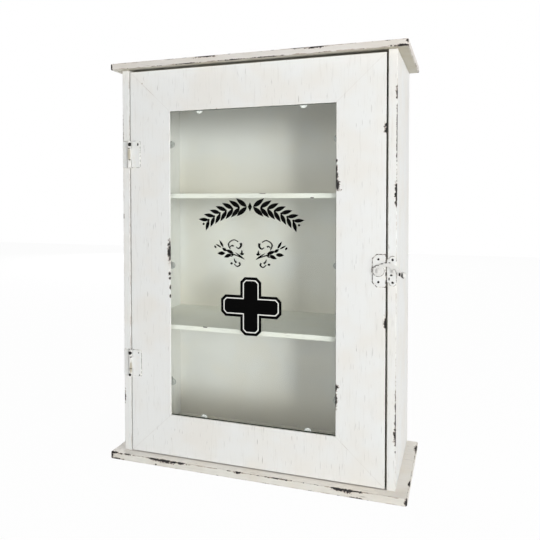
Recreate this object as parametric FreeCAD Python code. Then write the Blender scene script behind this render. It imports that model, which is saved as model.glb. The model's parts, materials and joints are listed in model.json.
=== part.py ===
"""Wall medicine cabinet: a painted wooden box with two shelves and one glazed, mitred door.

Millimetres. The origin is at the middle of the base board's underside, +X is to the right
as seen from the front, +Y is towards the wall and +Z is up.
"""
import FreeCAD, Part
import os

V = FreeCAD.Vector
X_AXIS, Y_AXIS, Z_AXIS = V(1, 0, 0), V(0, 1, 0), V(0, 0, 1)

# Carcass
body_width = 336.0            # over the outer faces of the sides
body_height = 484.0           # between the two boards
body_depth = 160.0            # from the front of the sides to the wall
side_thickness = 9.5
top_thickness = 7.5
top_side_overhang = 12.0
top_front_overhang = 10.0
base_thickness = 8.5
base_side_overhang = 13.5
base_front_overhang = 14.0
board_corner_radius = 3.0     # in plan
board_arris_radius = 1.0      # worn round
panel_thickness = 4.0
panel_rabbet_width = 5.0      # how far the back panel laps into each side
panel_side_clearance = 0.3

# Shelves, housed in grooves in the sides
shelf_thickness = 6.0
lower_shelf_height = 163.5    # top of the shelf above the base board
upper_shelf_height = 328.5
shelf_groove_depth = 3.0
shelf_clearance = 0.2
door_stop_clearance = 0.5     # the closed door's back stands this far from the shelves' fronts

# Hanging rail and its two wall screws
rail_height = 28.0
rail_thickness = 14.0
wall_hole_spacing = 220.0
wall_hole_radius = 2.5

# Dowels and nails
dowel_radius = 2.5
dowel_in_side = 14.0
dowel_in_board = 5.0
dowel_inset = 30.0            # from the front and back edges of a side
rail_dowel_radius = 2.0
rail_dowel_in_side = 5.0
rail_dowel_in_rail = 16.0
rail_dowel_spacing = 14.0
nail_radius = 0.7
nail_head_radius = 1.5
nail_head_thickness = 0.8
nail_length = 18.0
nail_end_inset = 40.0
nails_per_side = 5
fixing_clearance = 0.05       # between a dowel, nail or screw and its hole, on the radius

# Door
door_thickness = 12.0
door_gap_left = 1.5
door_gap_right = 2.0
door_gap_top = 3.0
door_gap_bottom = 1.0
stile_width = 54.5
rail_width = 51.5
lip_thickness = 2.0           # wood left in front of the pane
glass_thickness = 2.5
glass_lap = 6.0               # how far the pane laps behind the frame
glass_edge_clearance = 1.0
glass_face_clearance = 0.2
key_thickness = 2.5
key_width = 22.0
key_length_share = 0.5        # of the mitre's length
key_clearance = 0.1

# Glass clips
clip_width = 8.5
clip_thickness = 2.5
clip_reach = 3.8              # how far a clip's round tab shows inside the opening
clip_wall_clearance = 0.5     # between a clip and the rebate's wall
top_left_clip_inset = 37.0    # insets are from the opening's corners
top_right_clip_inset = 38.5
bottom_left_clip_inset = 42.0
bottom_right_clip_inset = 33.0
side_clip_inset = 40.0
left_middle_clip_rise = -2.0  # from the opening's mid-height
right_middle_clip_rise = 5.0
clip_screw_wall = 2.5         # from the rebate's edge to the screw's centre

# Hinges
upper_hinge_height = 378.0    # centre of the hinge above the base board
lower_hinge_height = 113.5
hinge_length = 33.0
hinge_door_leaf_width = 14.0  # from the pin's axis
hinge_frame_leaf_margin = 0.4 # leaf's edge inside the side's outer face
hinge_leaf_thickness = 1.2
hinge_leaf_corner_radius = 1.5
knuckle_radius = 2.6
knuckle_gap = 0.3
knuckle_shares = (0.28, 0.46, 0.26)   # bottom, middle and top, as shares of the hinge's length
hinge_pin_radius = 1.2
hinge_pin_head_radius = 1.9
hinge_pin_head_height = 0.8
pivot_clearance = 0.05         # running fit of the hinge pins and the rivet, on the radius
hinge_screw_inset = 6.0       # from the leaf's ends

# Latch
latch_height = 243.0          # hook's pivot above the base board
latch_pivot_inset = 7.7       # from the door's free edge
latch_plate_thickness = 1.2
latch_plate_width = 13.5
latch_plate_height = 35.0
latch_plate_chamfer = 4.5
latch_plate_edge = 0.4        # plate's edge inside the door's free edge
latch_lobe_wall = 0.9         # plate left round the hook's head
latch_screw_spacing = 25.0
catch_plate_width = 9.6
catch_plate_edge = 0.4        # plate's edge inside the side's outer face
catch_lobe_radius = 3.7
catch_pin_radius = 2.0
catch_pin_inset = 2.9         # from the side's outer face
catch_pin_tail_radius = 1.4
catch_pin_tail_length = 7.0
catch_pin_overhang = 1.0      # how far the pin stands out past the hook
hook_reach = 26.6             # from the pivot to the ball
hook_drop = 3.5               # ball below the pivot
hook_thickness = 2.2
hook_head_radius = 6.0
hook_ball_radius = 3.3
hook_notch_width = 6.4
rivet_radius = 1.5
rivet_head_radius = 2.7
rivet_head_height = 1.0
rivet_tail_length = 6.0
running_clearance = 0.3       # between moving pieces

# The hook's outline, from the pivot, as shares of hook_reach: along the top edge to the ball, then
# the finger's foot and the lip before the notch
hook_top_shares = ((-0.075, 0.205), (0.15, 0.285), (0.34, 0.35), (0.51, 0.315),
                   (0.68, 0.255), (0.83, 0.15), (0.95, 0.0))
hook_foot_shares = ((0.93, -0.16), (0.78, -0.18))
hook_lip_shares = ((0.50, 0.05), (0.44, 0.165), (0.24, 0.175), (0.15, 0.02))

# Screws: head radius, shank radius and length under the head's top face
hinge_screw_head_radius = 2.2
hinge_screw_radius = 1.2
hinge_screw_length = 9.0
plate_screw_head_radius = 1.5
plate_screw_radius = 0.9
plate_screw_length = 9.0
clip_screw_head_radius = 2.5
clip_screw_radius = 1.2
clip_screw_length = 10.0

cut_overrun = 1.0             # how far a cutter passes the face that it opens

# Planes and places that follow from the sizes above
half_body = body_width / 2
half_inner = half_body - side_thickness
wall_y = (body_depth + max(top_front_overhang, base_front_overhang)) / 2
front_y = wall_y - body_depth
floor_z = base_thickness                # top of the base board
ceiling_z = floor_z + body_height       # underside of the top board
panel_front_y = wall_y - panel_thickness
door_back_y = front_y + door_thickness
shelf_front_y = door_back_y + door_stop_clearance
door_left = -half_inner + door_gap_left
door_right = half_inner - door_gap_right
door_bottom = floor_z + door_gap_bottom
door_top = ceiling_z - door_gap_top
opening_left, opening_right = door_left + stile_width, door_right - stile_width
opening_bottom, opening_top = door_bottom + rail_width, door_top - rail_width
rebate_width = glass_lap + glass_edge_clearance
rebate_y = front_y + lip_thickness
glass_back_y = rebate_y + glass_thickness
hinge_x = -half_inner + door_gap_left / 2
hinge_y = front_y - running_clearance - knuckle_radius
leaf_front_y = front_y - hinge_leaf_thickness
plate_front_y = front_y - latch_plate_thickness
hook_back_y = plate_front_y - running_clearance
hook_front_y = hook_back_y - hook_thickness
pivot_x = door_right - latch_pivot_inset
pivot_z = floor_z + latch_height
catch_x = half_body - catch_pin_inset


def box(x_range, y_range, z_range):
    """Block between two limits along each axis."""
    low = V(x_range[0], y_range[0], z_range[0])
    return Part.makeBox(x_range[1] - x_range[0], y_range[1] - y_range[0], z_range[1] - z_range[0], low)


def rod(radius, start, direction, length):
    """Cylinder that starts at a point and runs along a direction."""
    return Part.makeCylinder(radius, length, start, direction)


def plate(outline, y_range):
    """Flat piece with an outline of (x, z) corners, between two depths."""
    corners = [V(x, y_range[0], z) for x, z in outline]
    face = Part.Face(Part.makePolygon(corners + corners[:1]))
    return face.extrude(V(0, y_range[1] - y_range[0], 0))


def edges_along(shape, axis):
    """Straight edges of a shape that run along an axis."""
    found = []
    for edge in shape.Edges:
        run = edge.Vertexes[-1].Point - edge.Vertexes[0].Point
        if run.Length > 0 and run.cross(axis).Length < 1e-6 * run.Length:
            found.append(edge)
    return found


def countersunk(top, direction, head_radius, shank_radius, length, grow=0.0):
    """Countersunk screw driven from its head's top, or, grown by a clearance, its hole."""
    head_height = head_radius - shank_radius
    head = Part.makeCone(head_radius + grow, shank_radius + grow, head_height, top, direction)
    start = top + direction * head_height
    return head.fuse(rod(shank_radius + grow, start, direction, length - head_height)).removeSplitter()


def hinge_screw(place, grow=0.0):
    return countersunk(place, Y_AXIS, hinge_screw_head_radius, hinge_screw_radius, hinge_screw_length, grow)


def plate_screw(place, grow=0.0):
    return countersunk(place, Y_AXIS, plate_screw_head_radius, plate_screw_radius, plate_screw_length, grow)


def clip_screw(place, grow=0.0):
    return countersunk(place, -Y_AXIS, clip_screw_head_radius, clip_screw_radius, clip_screw_length, grow)


# Where the repeated fixings sit
def carcass_dowel_places():
    """Middle of each dowel at a board's face, with the board's direction along Z."""
    side_x = half_body - side_thickness / 2
    for x in (-side_x, side_x):
        for y in (front_y + dowel_inset, panel_front_y - dowel_inset):
            yield V(x, y, floor_z), -1
            yield V(x, y, ceiling_z), 1


def carcass_dowel(place, board_side, grow=0.0):
    start = place + Z_AXIS * (dowel_in_board * board_side)
    return rod(dowel_radius + grow, start, Z_AXIS * -board_side, dowel_in_board + dowel_in_side)


def rail_dowel(side, level, grow=0.0):
    """One dowel between the hanging rail and a side, side being -1 or 1 and level -0.5 or 0.5."""
    z = ceiling_z - rail_height / 2 + level * rail_dowel_spacing
    start = V(side * (half_inner + rail_dowel_in_side), panel_front_y - rail_thickness / 2, z)
    return rod(rail_dowel_radius + grow, start, X_AXIS * -side, rail_dowel_in_side + rail_dowel_in_rail)


def nail_places():
    """Nails' head centres on the back panel's rear face."""
    nail_x = half_inner + (panel_rabbet_width - panel_side_clearance) / 2
    step = (body_height - 2 * nail_end_inset) / (nails_per_side - 1)
    for x in (-nail_x, nail_x):
        for index in range(nails_per_side):
            yield V(x, wall_y, floor_z + nail_end_inset + step * index)


def nail(place, grow=0.0):
    head = rod(nail_head_radius + grow, place, -Y_AXIS, nail_head_thickness)
    return head.fuse(rod(nail_radius + grow, place, -Y_AXIS, nail_length)).removeSplitter()


def wall_holes():
    """Cutters for the two wall screws, through the hanging rail and the back panel."""
    length = rail_thickness + panel_thickness + 2 * cut_overrun
    start_y = wall_y + cut_overrun
    z = ceiling_z - rail_height / 2
    for side in (-1, 1):
        yield rod(wall_hole_radius, V(side * wall_hole_spacing / 2, start_y, z), -Y_AXIS, length)


def hinge_centres():
    return {"upper": floor_z + upper_hinge_height, "lower": floor_z + lower_hinge_height}


def leaf_screw_places(centre_z, on_door):
    """Head centres of one leaf's two screws."""
    if on_door:
        x = hinge_x + (knuckle_radius + hinge_door_leaf_width) / 2
    else:
        x = (hinge_x - knuckle_radius - half_body + hinge_frame_leaf_margin) / 2
    for end in (-1, 1):
        yield V(x, leaf_front_y, centre_z + end * (hinge_length / 2 - hinge_screw_inset))


def latch_screw_places():
    for end in (-1, 1):
        yield V(pivot_x, plate_front_y, pivot_z + end * latch_screw_spacing / 2)


def catch_screw_places():
    x = half_body - catch_plate_edge - catch_lobe_radius
    for end in (-1, 1):
        yield V(x, plate_front_y, pivot_z + end * latch_screw_spacing / 2)


def clip_places():
    """Each clip's name, the middle of its opening edge and its outward direction in the door's plane."""
    low_z, high_z = opening_bottom + side_clip_inset, opening_top - side_clip_inset
    middle_z = (opening_bottom + opening_top) / 2
    return (
        ("top_left_clip", opening_left + top_left_clip_inset, opening_top, Z_AXIS),
        ("top_right_clip", opening_right - top_right_clip_inset, opening_top, Z_AXIS),
        ("bottom_left_clip", opening_left + bottom_left_clip_inset, opening_bottom, -Z_AXIS),
        ("bottom_right_clip", opening_right - bottom_right_clip_inset, opening_bottom, -Z_AXIS),
        ("left_upper_clip", opening_left, high_z, -X_AXIS),
        ("left_middle_clip", opening_left, middle_z + left_middle_clip_rise, -X_AXIS),
        ("left_lower_clip", opening_left, low_z, -X_AXIS),
        ("right_upper_clip", opening_right, high_z, X_AXIS),
        ("right_middle_clip", opening_right, middle_z + right_middle_clip_rise, X_AXIS),
        ("right_lower_clip", opening_right, low_z, X_AXIS),
    )


def clip_screw_place(x, z, outward):
    edge = V(x, door_back_y + clip_thickness, z)
    return edge + outward * (rebate_width + clip_screw_wall)


def cut_all(shape, cutters):
    cutters = list(cutters)
    return shape.cut(cutters) if cutters else shape


# Carcass pieces
def board(side_overhang, front_overhang, z_range):
    half = half_body + side_overhang
    slab = box((-half, half), (front_y - front_overhang, wall_y), z_range)
    slab = slab.makeFillet(board_corner_radius, edges_along(slab, Z_AXIS))
    rims = [e for e in slab.Edges if abs(e.BoundBox.ZMax - e.BoundBox.ZMin) < e.Length / 1000]
    slab = slab.makeFillet(board_arris_radius, rims)
    holes = [carcass_dowel(p, s, fixing_clearance) for p, s in carcass_dowel_places()]
    return cut_all(slab, holes)


def shelf_levels():
    return {"lower_shelf": floor_z + lower_shelf_height, "upper_shelf": floor_z + upper_shelf_height}


def side(sign):
    """Left (-1) or right (1) side, with its rabbet, grooves and holes."""
    def span(a, b):
        return (min(sign * a, sign * b), max(sign * a, sign * b))

    blank = box(span(half_inner, half_body), (front_y, wall_y), (floor_z, ceiling_z))
    rabbet = box(span(half_inner - cut_overrun, half_inner + panel_rabbet_width),
                 (panel_front_y, wall_y + cut_overrun), (floor_z, ceiling_z))
    grooves = [box(span(half_inner - cut_overrun, half_inner + shelf_groove_depth),
                   (shelf_front_y, wall_y), (top - shelf_thickness, top + shelf_clearance))
               for top in shelf_levels().values()]
    holes = [carcass_dowel(p, s, fixing_clearance) for p, s in carcass_dowel_places()]
    holes += [rail_dowel(sign, level, fixing_clearance) for level in (-0.5, 0.5)]
    holes += [nail(p, fixing_clearance) for p in nail_places()]
    if sign < 0:
        for centre in hinge_centres().values():
            holes += [hinge_screw(p, fixing_clearance) for p in leaf_screw_places(centre, False)]
    else:
        holes += [plate_screw(p, fixing_clearance) for p in catch_screw_places()]
        holes.append(catch_pin_tail(fixing_clearance))
    return cut_all(blank, [rabbet] + grooves + holes)


def shelf(top_z):
    half = half_inner + shelf_groove_depth - shelf_clearance
    return box((-half, half), (shelf_front_y, panel_front_y), (top_z - shelf_thickness, top_z))


def back_panel():
    half = half_inner + panel_rabbet_width - panel_side_clearance
    sheet = box((-half, half), (panel_front_y, wall_y), (floor_z, ceiling_z))
    return cut_all(sheet, list(wall_holes()) + [nail(p, fixing_clearance) for p in nail_places()])


def hanging_rail():
    bar = box((-half_inner, half_inner), (panel_front_y - rail_thickness, panel_front_y),
              (ceiling_z - rail_height, ceiling_z))
    dowels = [rail_dowel(s, level, fixing_clearance) for s in (-1, 1) for level in (-0.5, 0.5)]
    return cut_all(bar, list(wall_holes()) + dowels)


# Door frame
def mitre_key(corner_x, corner_z, toward_x, toward_z, grow=0.0):
    """Hidden key across one mitre; toward_x and toward_z point from the corner into the door."""
    along = V(toward_x * stile_width, 0, toward_z * rail_width)
    half_length = along.Length * key_length_share / 2 + grow
    middle = V(corner_x, (front_y + door_back_y) / 2, corner_z) + along * 0.5
    along.normalize()
    across = along.cross(Y_AXIS) * (key_width / 2 + grow)
    ends = [middle + along * (half_length * end) for end in (-1, 1)]
    outline = [(p.x, p.z) for p in (ends[0] + across, ends[1] + across, ends[1] - across, ends[0] - across)]
    half = key_thickness / 2 + grow
    return plate(outline, (middle.y - half, middle.y + half))


def mitre_keys(grow=0.0):
    corners = ((door_left, door_bottom, 1, 1), (door_right, door_bottom, -1, 1),
               (door_right, door_top, -1, -1), (door_left, door_top, 1, -1))
    return [mitre_key(*corner, grow) for corner in corners]


def frame_member(outline, fixings):
    """One member of the door frame, with the glass rebate, its key slots and its screw holes."""
    blank = plate(outline, (front_y, door_back_y))
    rebate = box((opening_left - rebate_width, opening_right + rebate_width),
                 (rebate_y, door_back_y + cut_overrun),
                 (opening_bottom - rebate_width, opening_top + rebate_width))
    screws = [clip_screw(clip_screw_place(x, z, outward), fixing_clearance)
              for name, x, z, outward in clip_places()]
    return cut_all(blank, [rebate] + mitre_keys(key_clearance) + screws + fixings)


def door_frame():
    outer = {"bl": (door_left, door_bottom), "br": (door_right, door_bottom),
             "tr": (door_right, door_top), "tl": (door_left, door_top)}
    inner = {"bl": (opening_left, opening_bottom), "br": (opening_right, opening_bottom),
             "tr": (opening_right, opening_top), "tl": (opening_left, opening_top)}
    hinge_holes = [hinge_screw(p, fixing_clearance)
                   for z in hinge_centres().values() for p in leaf_screw_places(z, True)]
    latch_holes = [plate_screw(p, fixing_clearance) for p in latch_screw_places()]
    latch_holes.append(rivet_shank(fixing_clearance))
    members = {"left_stile": ("bl", "tl", hinge_holes), "top_rail": ("tl", "tr", []),
               "right_stile": ("tr", "br", latch_holes), "bottom_rail": ("br", "bl", [])}
    return {name: frame_member((outer[a], outer[b], inner[b], inner[a]), fixings)
            for name, (a, b, fixings) in members.items()}


def glass_pane():
    return box((opening_left - glass_lap, opening_right + glass_lap), (rebate_y, glass_back_y),
               (opening_bottom - glass_lap, opening_top + glass_lap))


def glass_clip(x, z, outward):
    """Stepped clip: a round tab on the pane, a riser in the rebate and a strip screwed behind the frame."""
    radius = clip_width / 2
    across = outward.cross(Y_AXIS) * radius
    tab_end = radius - clip_reach
    riser_outer = rebate_width - clip_wall_clearance
    riser_inner = riser_outer - clip_thickness
    strip_end = rebate_width + clip_screw_wall
    tab_y = glass_back_y + glass_face_clearance
    strip_y = door_back_y

    def at(distance, y):
        return V(x, y, z) + outward * distance

    def bar(near, far, y_range):
        corners = [at(near, 0) + across, at(far, 0) + across, at(far, 0) - across, at(near, 0) - across]
        return plate([(p.x, p.z) for p in corners], y_range)

    tab = bar(tab_end, riser_outer, (tab_y, tab_y + clip_thickness))
    riser = bar(riser_inner, riser_outer, (tab_y, strip_y + clip_thickness))
    strip = bar(riser_inner, strip_end, (strip_y, strip_y + clip_thickness))
    rounds = [rod(radius, at(tab_end, tab_y), Y_AXIS, clip_thickness),
              rod(radius, at(strip_end, strip_y), Y_AXIS, clip_thickness)]
    clip = tab.fuse([riser, strip] + rounds).removeSplitter()
    return clip.cut(clip_screw(clip_screw_place(x, z, outward), fixing_clearance))


# Hinges
def knuckle_spans(centre_z):
    """Bottom, middle and top knuckle of one hinge, as (low, high) heights."""
    spans = []
    low = centre_z - hinge_length / 2
    for index, share in enumerate(knuckle_shares):
        high = low + share * hinge_length
        bottom_gap = knuckle_gap / 2 if index > 0 else 0
        top_gap = knuckle_gap / 2 if index < len(knuckle_shares) - 1 else 0
        spans.append((low + bottom_gap, high - top_gap))
        low = high
    return spans


def hinge_leaf(centre_z, on_door):
    """Flat leaf with its own knuckles, notched for the other leaf's."""
    spans = knuckle_spans(centre_z)
    own, other = (spans[1:2], spans[::2]) if on_door else (spans[::2], spans[1:2])
    half = hinge_length / 2
    free_x = hinge_x + hinge_door_leaf_width if on_door else -half_body + hinge_frame_leaf_margin
    x_range = (min(free_x, hinge_x), max(free_x, hinge_x))
    sheet = box(x_range, (leaf_front_y, front_y), (centre_z - half, centre_z + half))
    corners = [e for e in edges_along(sheet, Y_AXIS) if abs(e.Vertexes[0].X - free_x) < abs(e.Vertexes[0].X - hinge_x)]
    sheet = sheet.makeFillet(hinge_leaf_corner_radius, corners)
    reach = knuckle_radius + running_clearance
    notches = [box((hinge_x - reach, hinge_x + reach), (leaf_front_y - cut_overrun, front_y + cut_overrun),
                   (low - knuckle_gap, high + knuckle_gap)) for low, high in other]
    barrels = [rod(knuckle_radius, V(hinge_x, hinge_y, low), Z_AXIS, high - low) for low, high in own]
    leaf = sheet.cut(notches).fuse(barrels).removeSplitter()
    bore_start = V(hinge_x, hinge_y, centre_z - half - cut_overrun)
    bore = rod(hinge_pin_radius + pivot_clearance, bore_start, Z_AXIS, hinge_length + 2 * cut_overrun)
    screws = [hinge_screw(p, fixing_clearance) for p in leaf_screw_places(centre_z, on_door)]
    return leaf.cut([bore] + screws)


def hinge_pin(centre_z):
    low = V(hinge_x, hinge_y, centre_z - hinge_length / 2)
    high = low + Z_AXIS * hinge_length
    shank = rod(hinge_pin_radius, low, Z_AXIS, hinge_length)
    heads = [rod(hinge_pin_head_radius, low, -Z_AXIS, hinge_pin_head_height),
             rod(hinge_pin_head_radius, high, Z_AXIS, hinge_pin_head_height)]
    return shank.fuse(heads).removeSplitter()


# Latch
def rivet_shank(grow=0.0):
    start = V(pivot_x, hook_front_y - running_clearance, pivot_z)
    return rod(rivet_radius + grow, start, Y_AXIS, front_y + rivet_tail_length - start.y)


def pivot_rivet():
    head_back = V(pivot_x, hook_front_y - running_clearance, pivot_z)
    return rivet_shank().fuse(rod(rivet_head_radius, head_back, -Y_AXIS, rivet_head_height)).removeSplitter()


def latch_plate():
    half = latch_plate_height / 2
    right = door_right - latch_plate_edge
    left = right - latch_plate_width
    chamfer = latch_plate_chamfer
    outline = ((right, pivot_z - half), (right, pivot_z + half), (left + chamfer, pivot_z + half),
               (left, pivot_z + half - chamfer), (left, pivot_z - half + chamfer), (left + chamfer, pivot_z - half))
    sheet = plate(outline, (plate_front_y, front_y))
    lobe = rod(hook_head_radius + latch_lobe_wall, V(pivot_x, plate_front_y, pivot_z), Y_AXIS, latch_plate_thickness)
    beyond_door = box((right, right + body_width), (plate_front_y, front_y), (floor_z, ceiling_z))
    holes = [plate_screw(p, fixing_clearance) for p in latch_screw_places()] + [rivet_shank(fixing_clearance)]
    return sheet.fuse(lobe).removeSplitter().cut([beyond_door] + holes)


def catch_plate():
    """Plate on the right side, with a round lobe at each screw."""
    right = half_body - catch_plate_edge
    half = latch_screw_spacing / 2
    y_range = (plate_front_y, front_y)
    sheet = box((right - catch_plate_width, right), y_range, (pivot_z - half, pivot_z + half))
    lobes = [rod(catch_lobe_radius, p, Y_AXIS, latch_plate_thickness) for p in catch_screw_places()]
    holes = [plate_screw(p, fixing_clearance) for p in catch_screw_places()] + [catch_pin_tail(fixing_clearance)]
    return sheet.fuse(lobes).removeSplitter().cut(holes)


def catch_pin_tail(grow=0.0):
    return rod(catch_pin_tail_radius + grow, V(catch_x, plate_front_y, pivot_z), Y_AXIS, catch_pin_tail_length)


def catch_pin():
    """Plain headless pin that the hook drops over."""
    length = plate_front_y - hook_front_y + catch_pin_overhang
    post = rod(catch_pin_radius, V(catch_x, plate_front_y, pivot_z), -Y_AXIS, length)
    return post.fuse(catch_pin_tail()).removeSplitter()


def hook():
    """Flat hook with a round head, an arched arm notched over the catch pin, and a ball to lift it by."""
    def at(share):
        return V(pivot_x + share[0] * hook_reach, hook_back_y, pivot_z + share[1] * hook_reach)

    top = Part.BSplineCurve()
    top.interpolate([at(share) for share in hook_top_shares])
    run = [at(share) for share in hook_top_shares[-1:] + hook_foot_shares + hook_lip_shares + hook_top_shares[:1]]
    rest = [Part.makeLine(a, b) for a, b in zip(run, run[1:])]
    arm = Part.Face(Part.Wire([top.toShape()] + rest)).extrude(-Y_AXIS * hook_thickness)

    head = rod(hook_head_radius, V(pivot_x, hook_back_y, pivot_z), -Y_AXIS, hook_thickness)
    ball_centre = V(pivot_x + hook_reach, hook_back_y - hook_ball_radius, pivot_z - hook_drop)
    ball = Part.makeSphere(hook_ball_radius, ball_centre)

    notch_radius = hook_notch_width / 2
    notch_top = pivot_z + catch_pin_radius + running_clearance
    roof = V(catch_x, hook_back_y + cut_overrun, notch_top - notch_radius)
    depth = hook_thickness + 2 * cut_overrun
    notch = rod(notch_radius, roof, -Y_AXIS, depth).fuse(
        box((catch_x - notch_radius, catch_x + notch_radius), (roof.y - depth, roof.y),
            (pivot_z - hook_reach, roof.z)))
    eye = rivet_shank(pivot_clearance)
    return head.fuse([arm, ball]).removeSplitter().cut([notch, eye])


def group(solids):
    return Part.makeCompound(list(solids))


def all_nodes():
    nodes = {
        "base_board": board(base_side_overhang, base_front_overhang, (0, floor_z)),
        "top_board": board(top_side_overhang, top_front_overhang, (ceiling_z, ceiling_z + top_thickness)),
        "left_side": side(-1),
        "right_side": side(1),
        "back_panel": back_panel(),
        "hanging_rail": hanging_rail(),
        "carcass_dowels": group(carcass_dowel(p, s) for p, s in carcass_dowel_places()),
        "rail_dowels": group(rail_dowel(s, level) for s in (-1, 1) for level in (-0.5, 0.5)),
        "back_panel_nails": group(nail(p) for p in nail_places()),
        "mitre_keys": group(mitre_keys()),
        "glass_pane": glass_pane(),
        "latch_plate": latch_plate(),
        "latch_screws": group(plate_screw(p) for p in latch_screw_places()),
        "pivot_rivet": pivot_rivet(),
        "hook": hook(),
        "catch_plate": catch_plate(),
        "catch_pin": catch_pin(),
        "catch_screws": group(plate_screw(p) for p in catch_screw_places()),
    }
    nodes.update({name: shelf(top) for name, top in shelf_levels().items()})
    nodes.update(door_frame())
    for name, x, z, outward in clip_places():
        nodes[name] = glass_clip(x, z, outward)
    nodes["clip_screws"] = group(clip_screw(clip_screw_place(x, z, out)) for name, x, z, out in clip_places())
    for name, centre in hinge_centres().items():
        nodes[name + "_hinge_frame_leaf"] = hinge_leaf(centre, False)
        nodes[name + "_hinge_door_leaf"] = hinge_leaf(centre, True)
        nodes[name + "_hinge_pin"] = hinge_pin(centre)
    for name, on_door in (("hinge_frame_screws", False), ("hinge_door_screws", True)):
        nodes[name] = group(hinge_screw(p) for z in hinge_centres().values() for p in leaf_screw_places(z, on_door))
    return nodes


os.makedirs("parts", exist_ok=True)
for node_name, node_shape in all_nodes().items():
    node_shape.exportStep("parts/" + node_name + ".step")
    print(node_name, len(node_shape.Solids), "solids", round(node_shape.Volume, 1), "mm3", node_shape.isValid())
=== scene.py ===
# %% [markdown]
# A white painted wall cabinet with a glass door. The construction comes packed, at its real size and in
# its real place, so this lesson only dresses it: every board, plate and screw gets a softened mesh and a
# finish made from shader nodes. Lengths are metres, with MM to write them in millimetres. Only shaders, and
# the tables of chips and of the ornament's points, count in millimetres.

# %% Load the frame
import json
import math

import bmesh
import bpy
from mathutils import Matrix, Vector


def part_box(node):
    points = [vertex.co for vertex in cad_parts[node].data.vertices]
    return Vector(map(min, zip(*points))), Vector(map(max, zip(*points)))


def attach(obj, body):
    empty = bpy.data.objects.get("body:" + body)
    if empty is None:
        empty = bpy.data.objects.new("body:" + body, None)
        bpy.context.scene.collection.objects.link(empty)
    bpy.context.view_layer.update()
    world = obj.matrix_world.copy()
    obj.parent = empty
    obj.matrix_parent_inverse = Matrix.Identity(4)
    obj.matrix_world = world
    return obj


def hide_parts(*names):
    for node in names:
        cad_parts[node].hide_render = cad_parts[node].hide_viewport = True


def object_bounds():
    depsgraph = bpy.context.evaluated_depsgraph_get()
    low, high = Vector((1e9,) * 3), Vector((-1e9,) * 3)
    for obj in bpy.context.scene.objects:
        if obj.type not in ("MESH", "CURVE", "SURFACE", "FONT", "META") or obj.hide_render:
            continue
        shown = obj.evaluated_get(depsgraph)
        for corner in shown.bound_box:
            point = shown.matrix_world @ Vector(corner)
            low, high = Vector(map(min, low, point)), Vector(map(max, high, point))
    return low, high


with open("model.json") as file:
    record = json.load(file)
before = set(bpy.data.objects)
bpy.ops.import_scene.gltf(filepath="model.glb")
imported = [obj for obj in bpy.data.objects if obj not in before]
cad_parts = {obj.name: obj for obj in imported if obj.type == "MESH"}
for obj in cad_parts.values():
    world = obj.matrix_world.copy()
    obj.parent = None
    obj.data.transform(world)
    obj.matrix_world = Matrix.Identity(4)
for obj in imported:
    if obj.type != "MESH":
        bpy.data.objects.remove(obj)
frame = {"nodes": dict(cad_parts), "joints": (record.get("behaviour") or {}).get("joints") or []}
cad_low, cad_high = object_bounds()
MM = 0.001
print("frame:", len(frame["nodes"]), "nodes, size in mm", [round(v / MM, 1) for v in cad_high - cad_low])

# %% [markdown]
# The camera stands to the right of the cabinet and a little above its middle. It could be aimed with a
# Track To constraint, but a photograph has a level horizon and a shifted frame, so the three turns and the
# lens shift are written out instead.

# %% Camera
IMAGE_PIXELS = 540
FOCAL_PIXELS = 648.19
FRAME_SHIFT_PIXELS = (60.0, -55.0)
CAMERA_PLACE = Vector((235.59, -800.79, 335.35)) * MM
CAMERA_YAW, CAMERA_PITCH, CAMERA_ROLL = (math.radians(turn) for turn in (-21.399, -1.785, -0.188))


def camera_axes(yaw, pitch, roll):
    """The camera's right, up and backward directions, as the columns of its turn."""
    forward = Vector((math.sin(yaw) * math.cos(pitch), math.cos(yaw) * math.cos(pitch), math.sin(pitch)))
    level_right = Vector((math.cos(yaw), -math.sin(yaw), 0))
    level_up = level_right.cross(forward)
    right = math.cos(roll) * level_right + math.sin(roll) * level_up
    up = right.cross(forward)
    return Matrix((right, up, -forward)).transposed()


camera_data = bpy.data.cameras.new("camera")
camera_data.sensor_fit = "HORIZONTAL"
camera_data.lens = camera_data.sensor_width * FOCAL_PIXELS / IMAGE_PIXELS
camera_data.shift_x, camera_data.shift_y = (shift / IMAGE_PIXELS for shift in FRAME_SHIFT_PIXELS)
camera = bpy.data.objects.new("camera", camera_data)
camera.matrix_world = (
    Matrix.Translation(CAMERA_PLACE) @ camera_axes(CAMERA_YAW, CAMERA_PITCH, CAMERA_ROLL).to_4x4()
)
bpy.context.scene.collection.objects.link(camera)
bpy.context.scene.camera = camera
print("camera: lens", round(camera_data.lens, 1), "mm")

# %% [markdown]
# Every finish below is a formula over the place on a piece. Building such formulas node by node is long,
# so one small class wraps a socket: plus, minus and times on it add Math nodes, and the Recipe's node
# method makes any other node from its type, its settings and its sockets.

# %% Shader helpers
def both_ways(operation):
    """An operator in its plain and its reflected form, so that 1 - mask works as well as mask - 1."""

    def plain(self, other):
        return self.math(operation, self, other)

    def reflected(self, other):
        return self.math(operation, other, self)

    return plain, reflected


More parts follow.
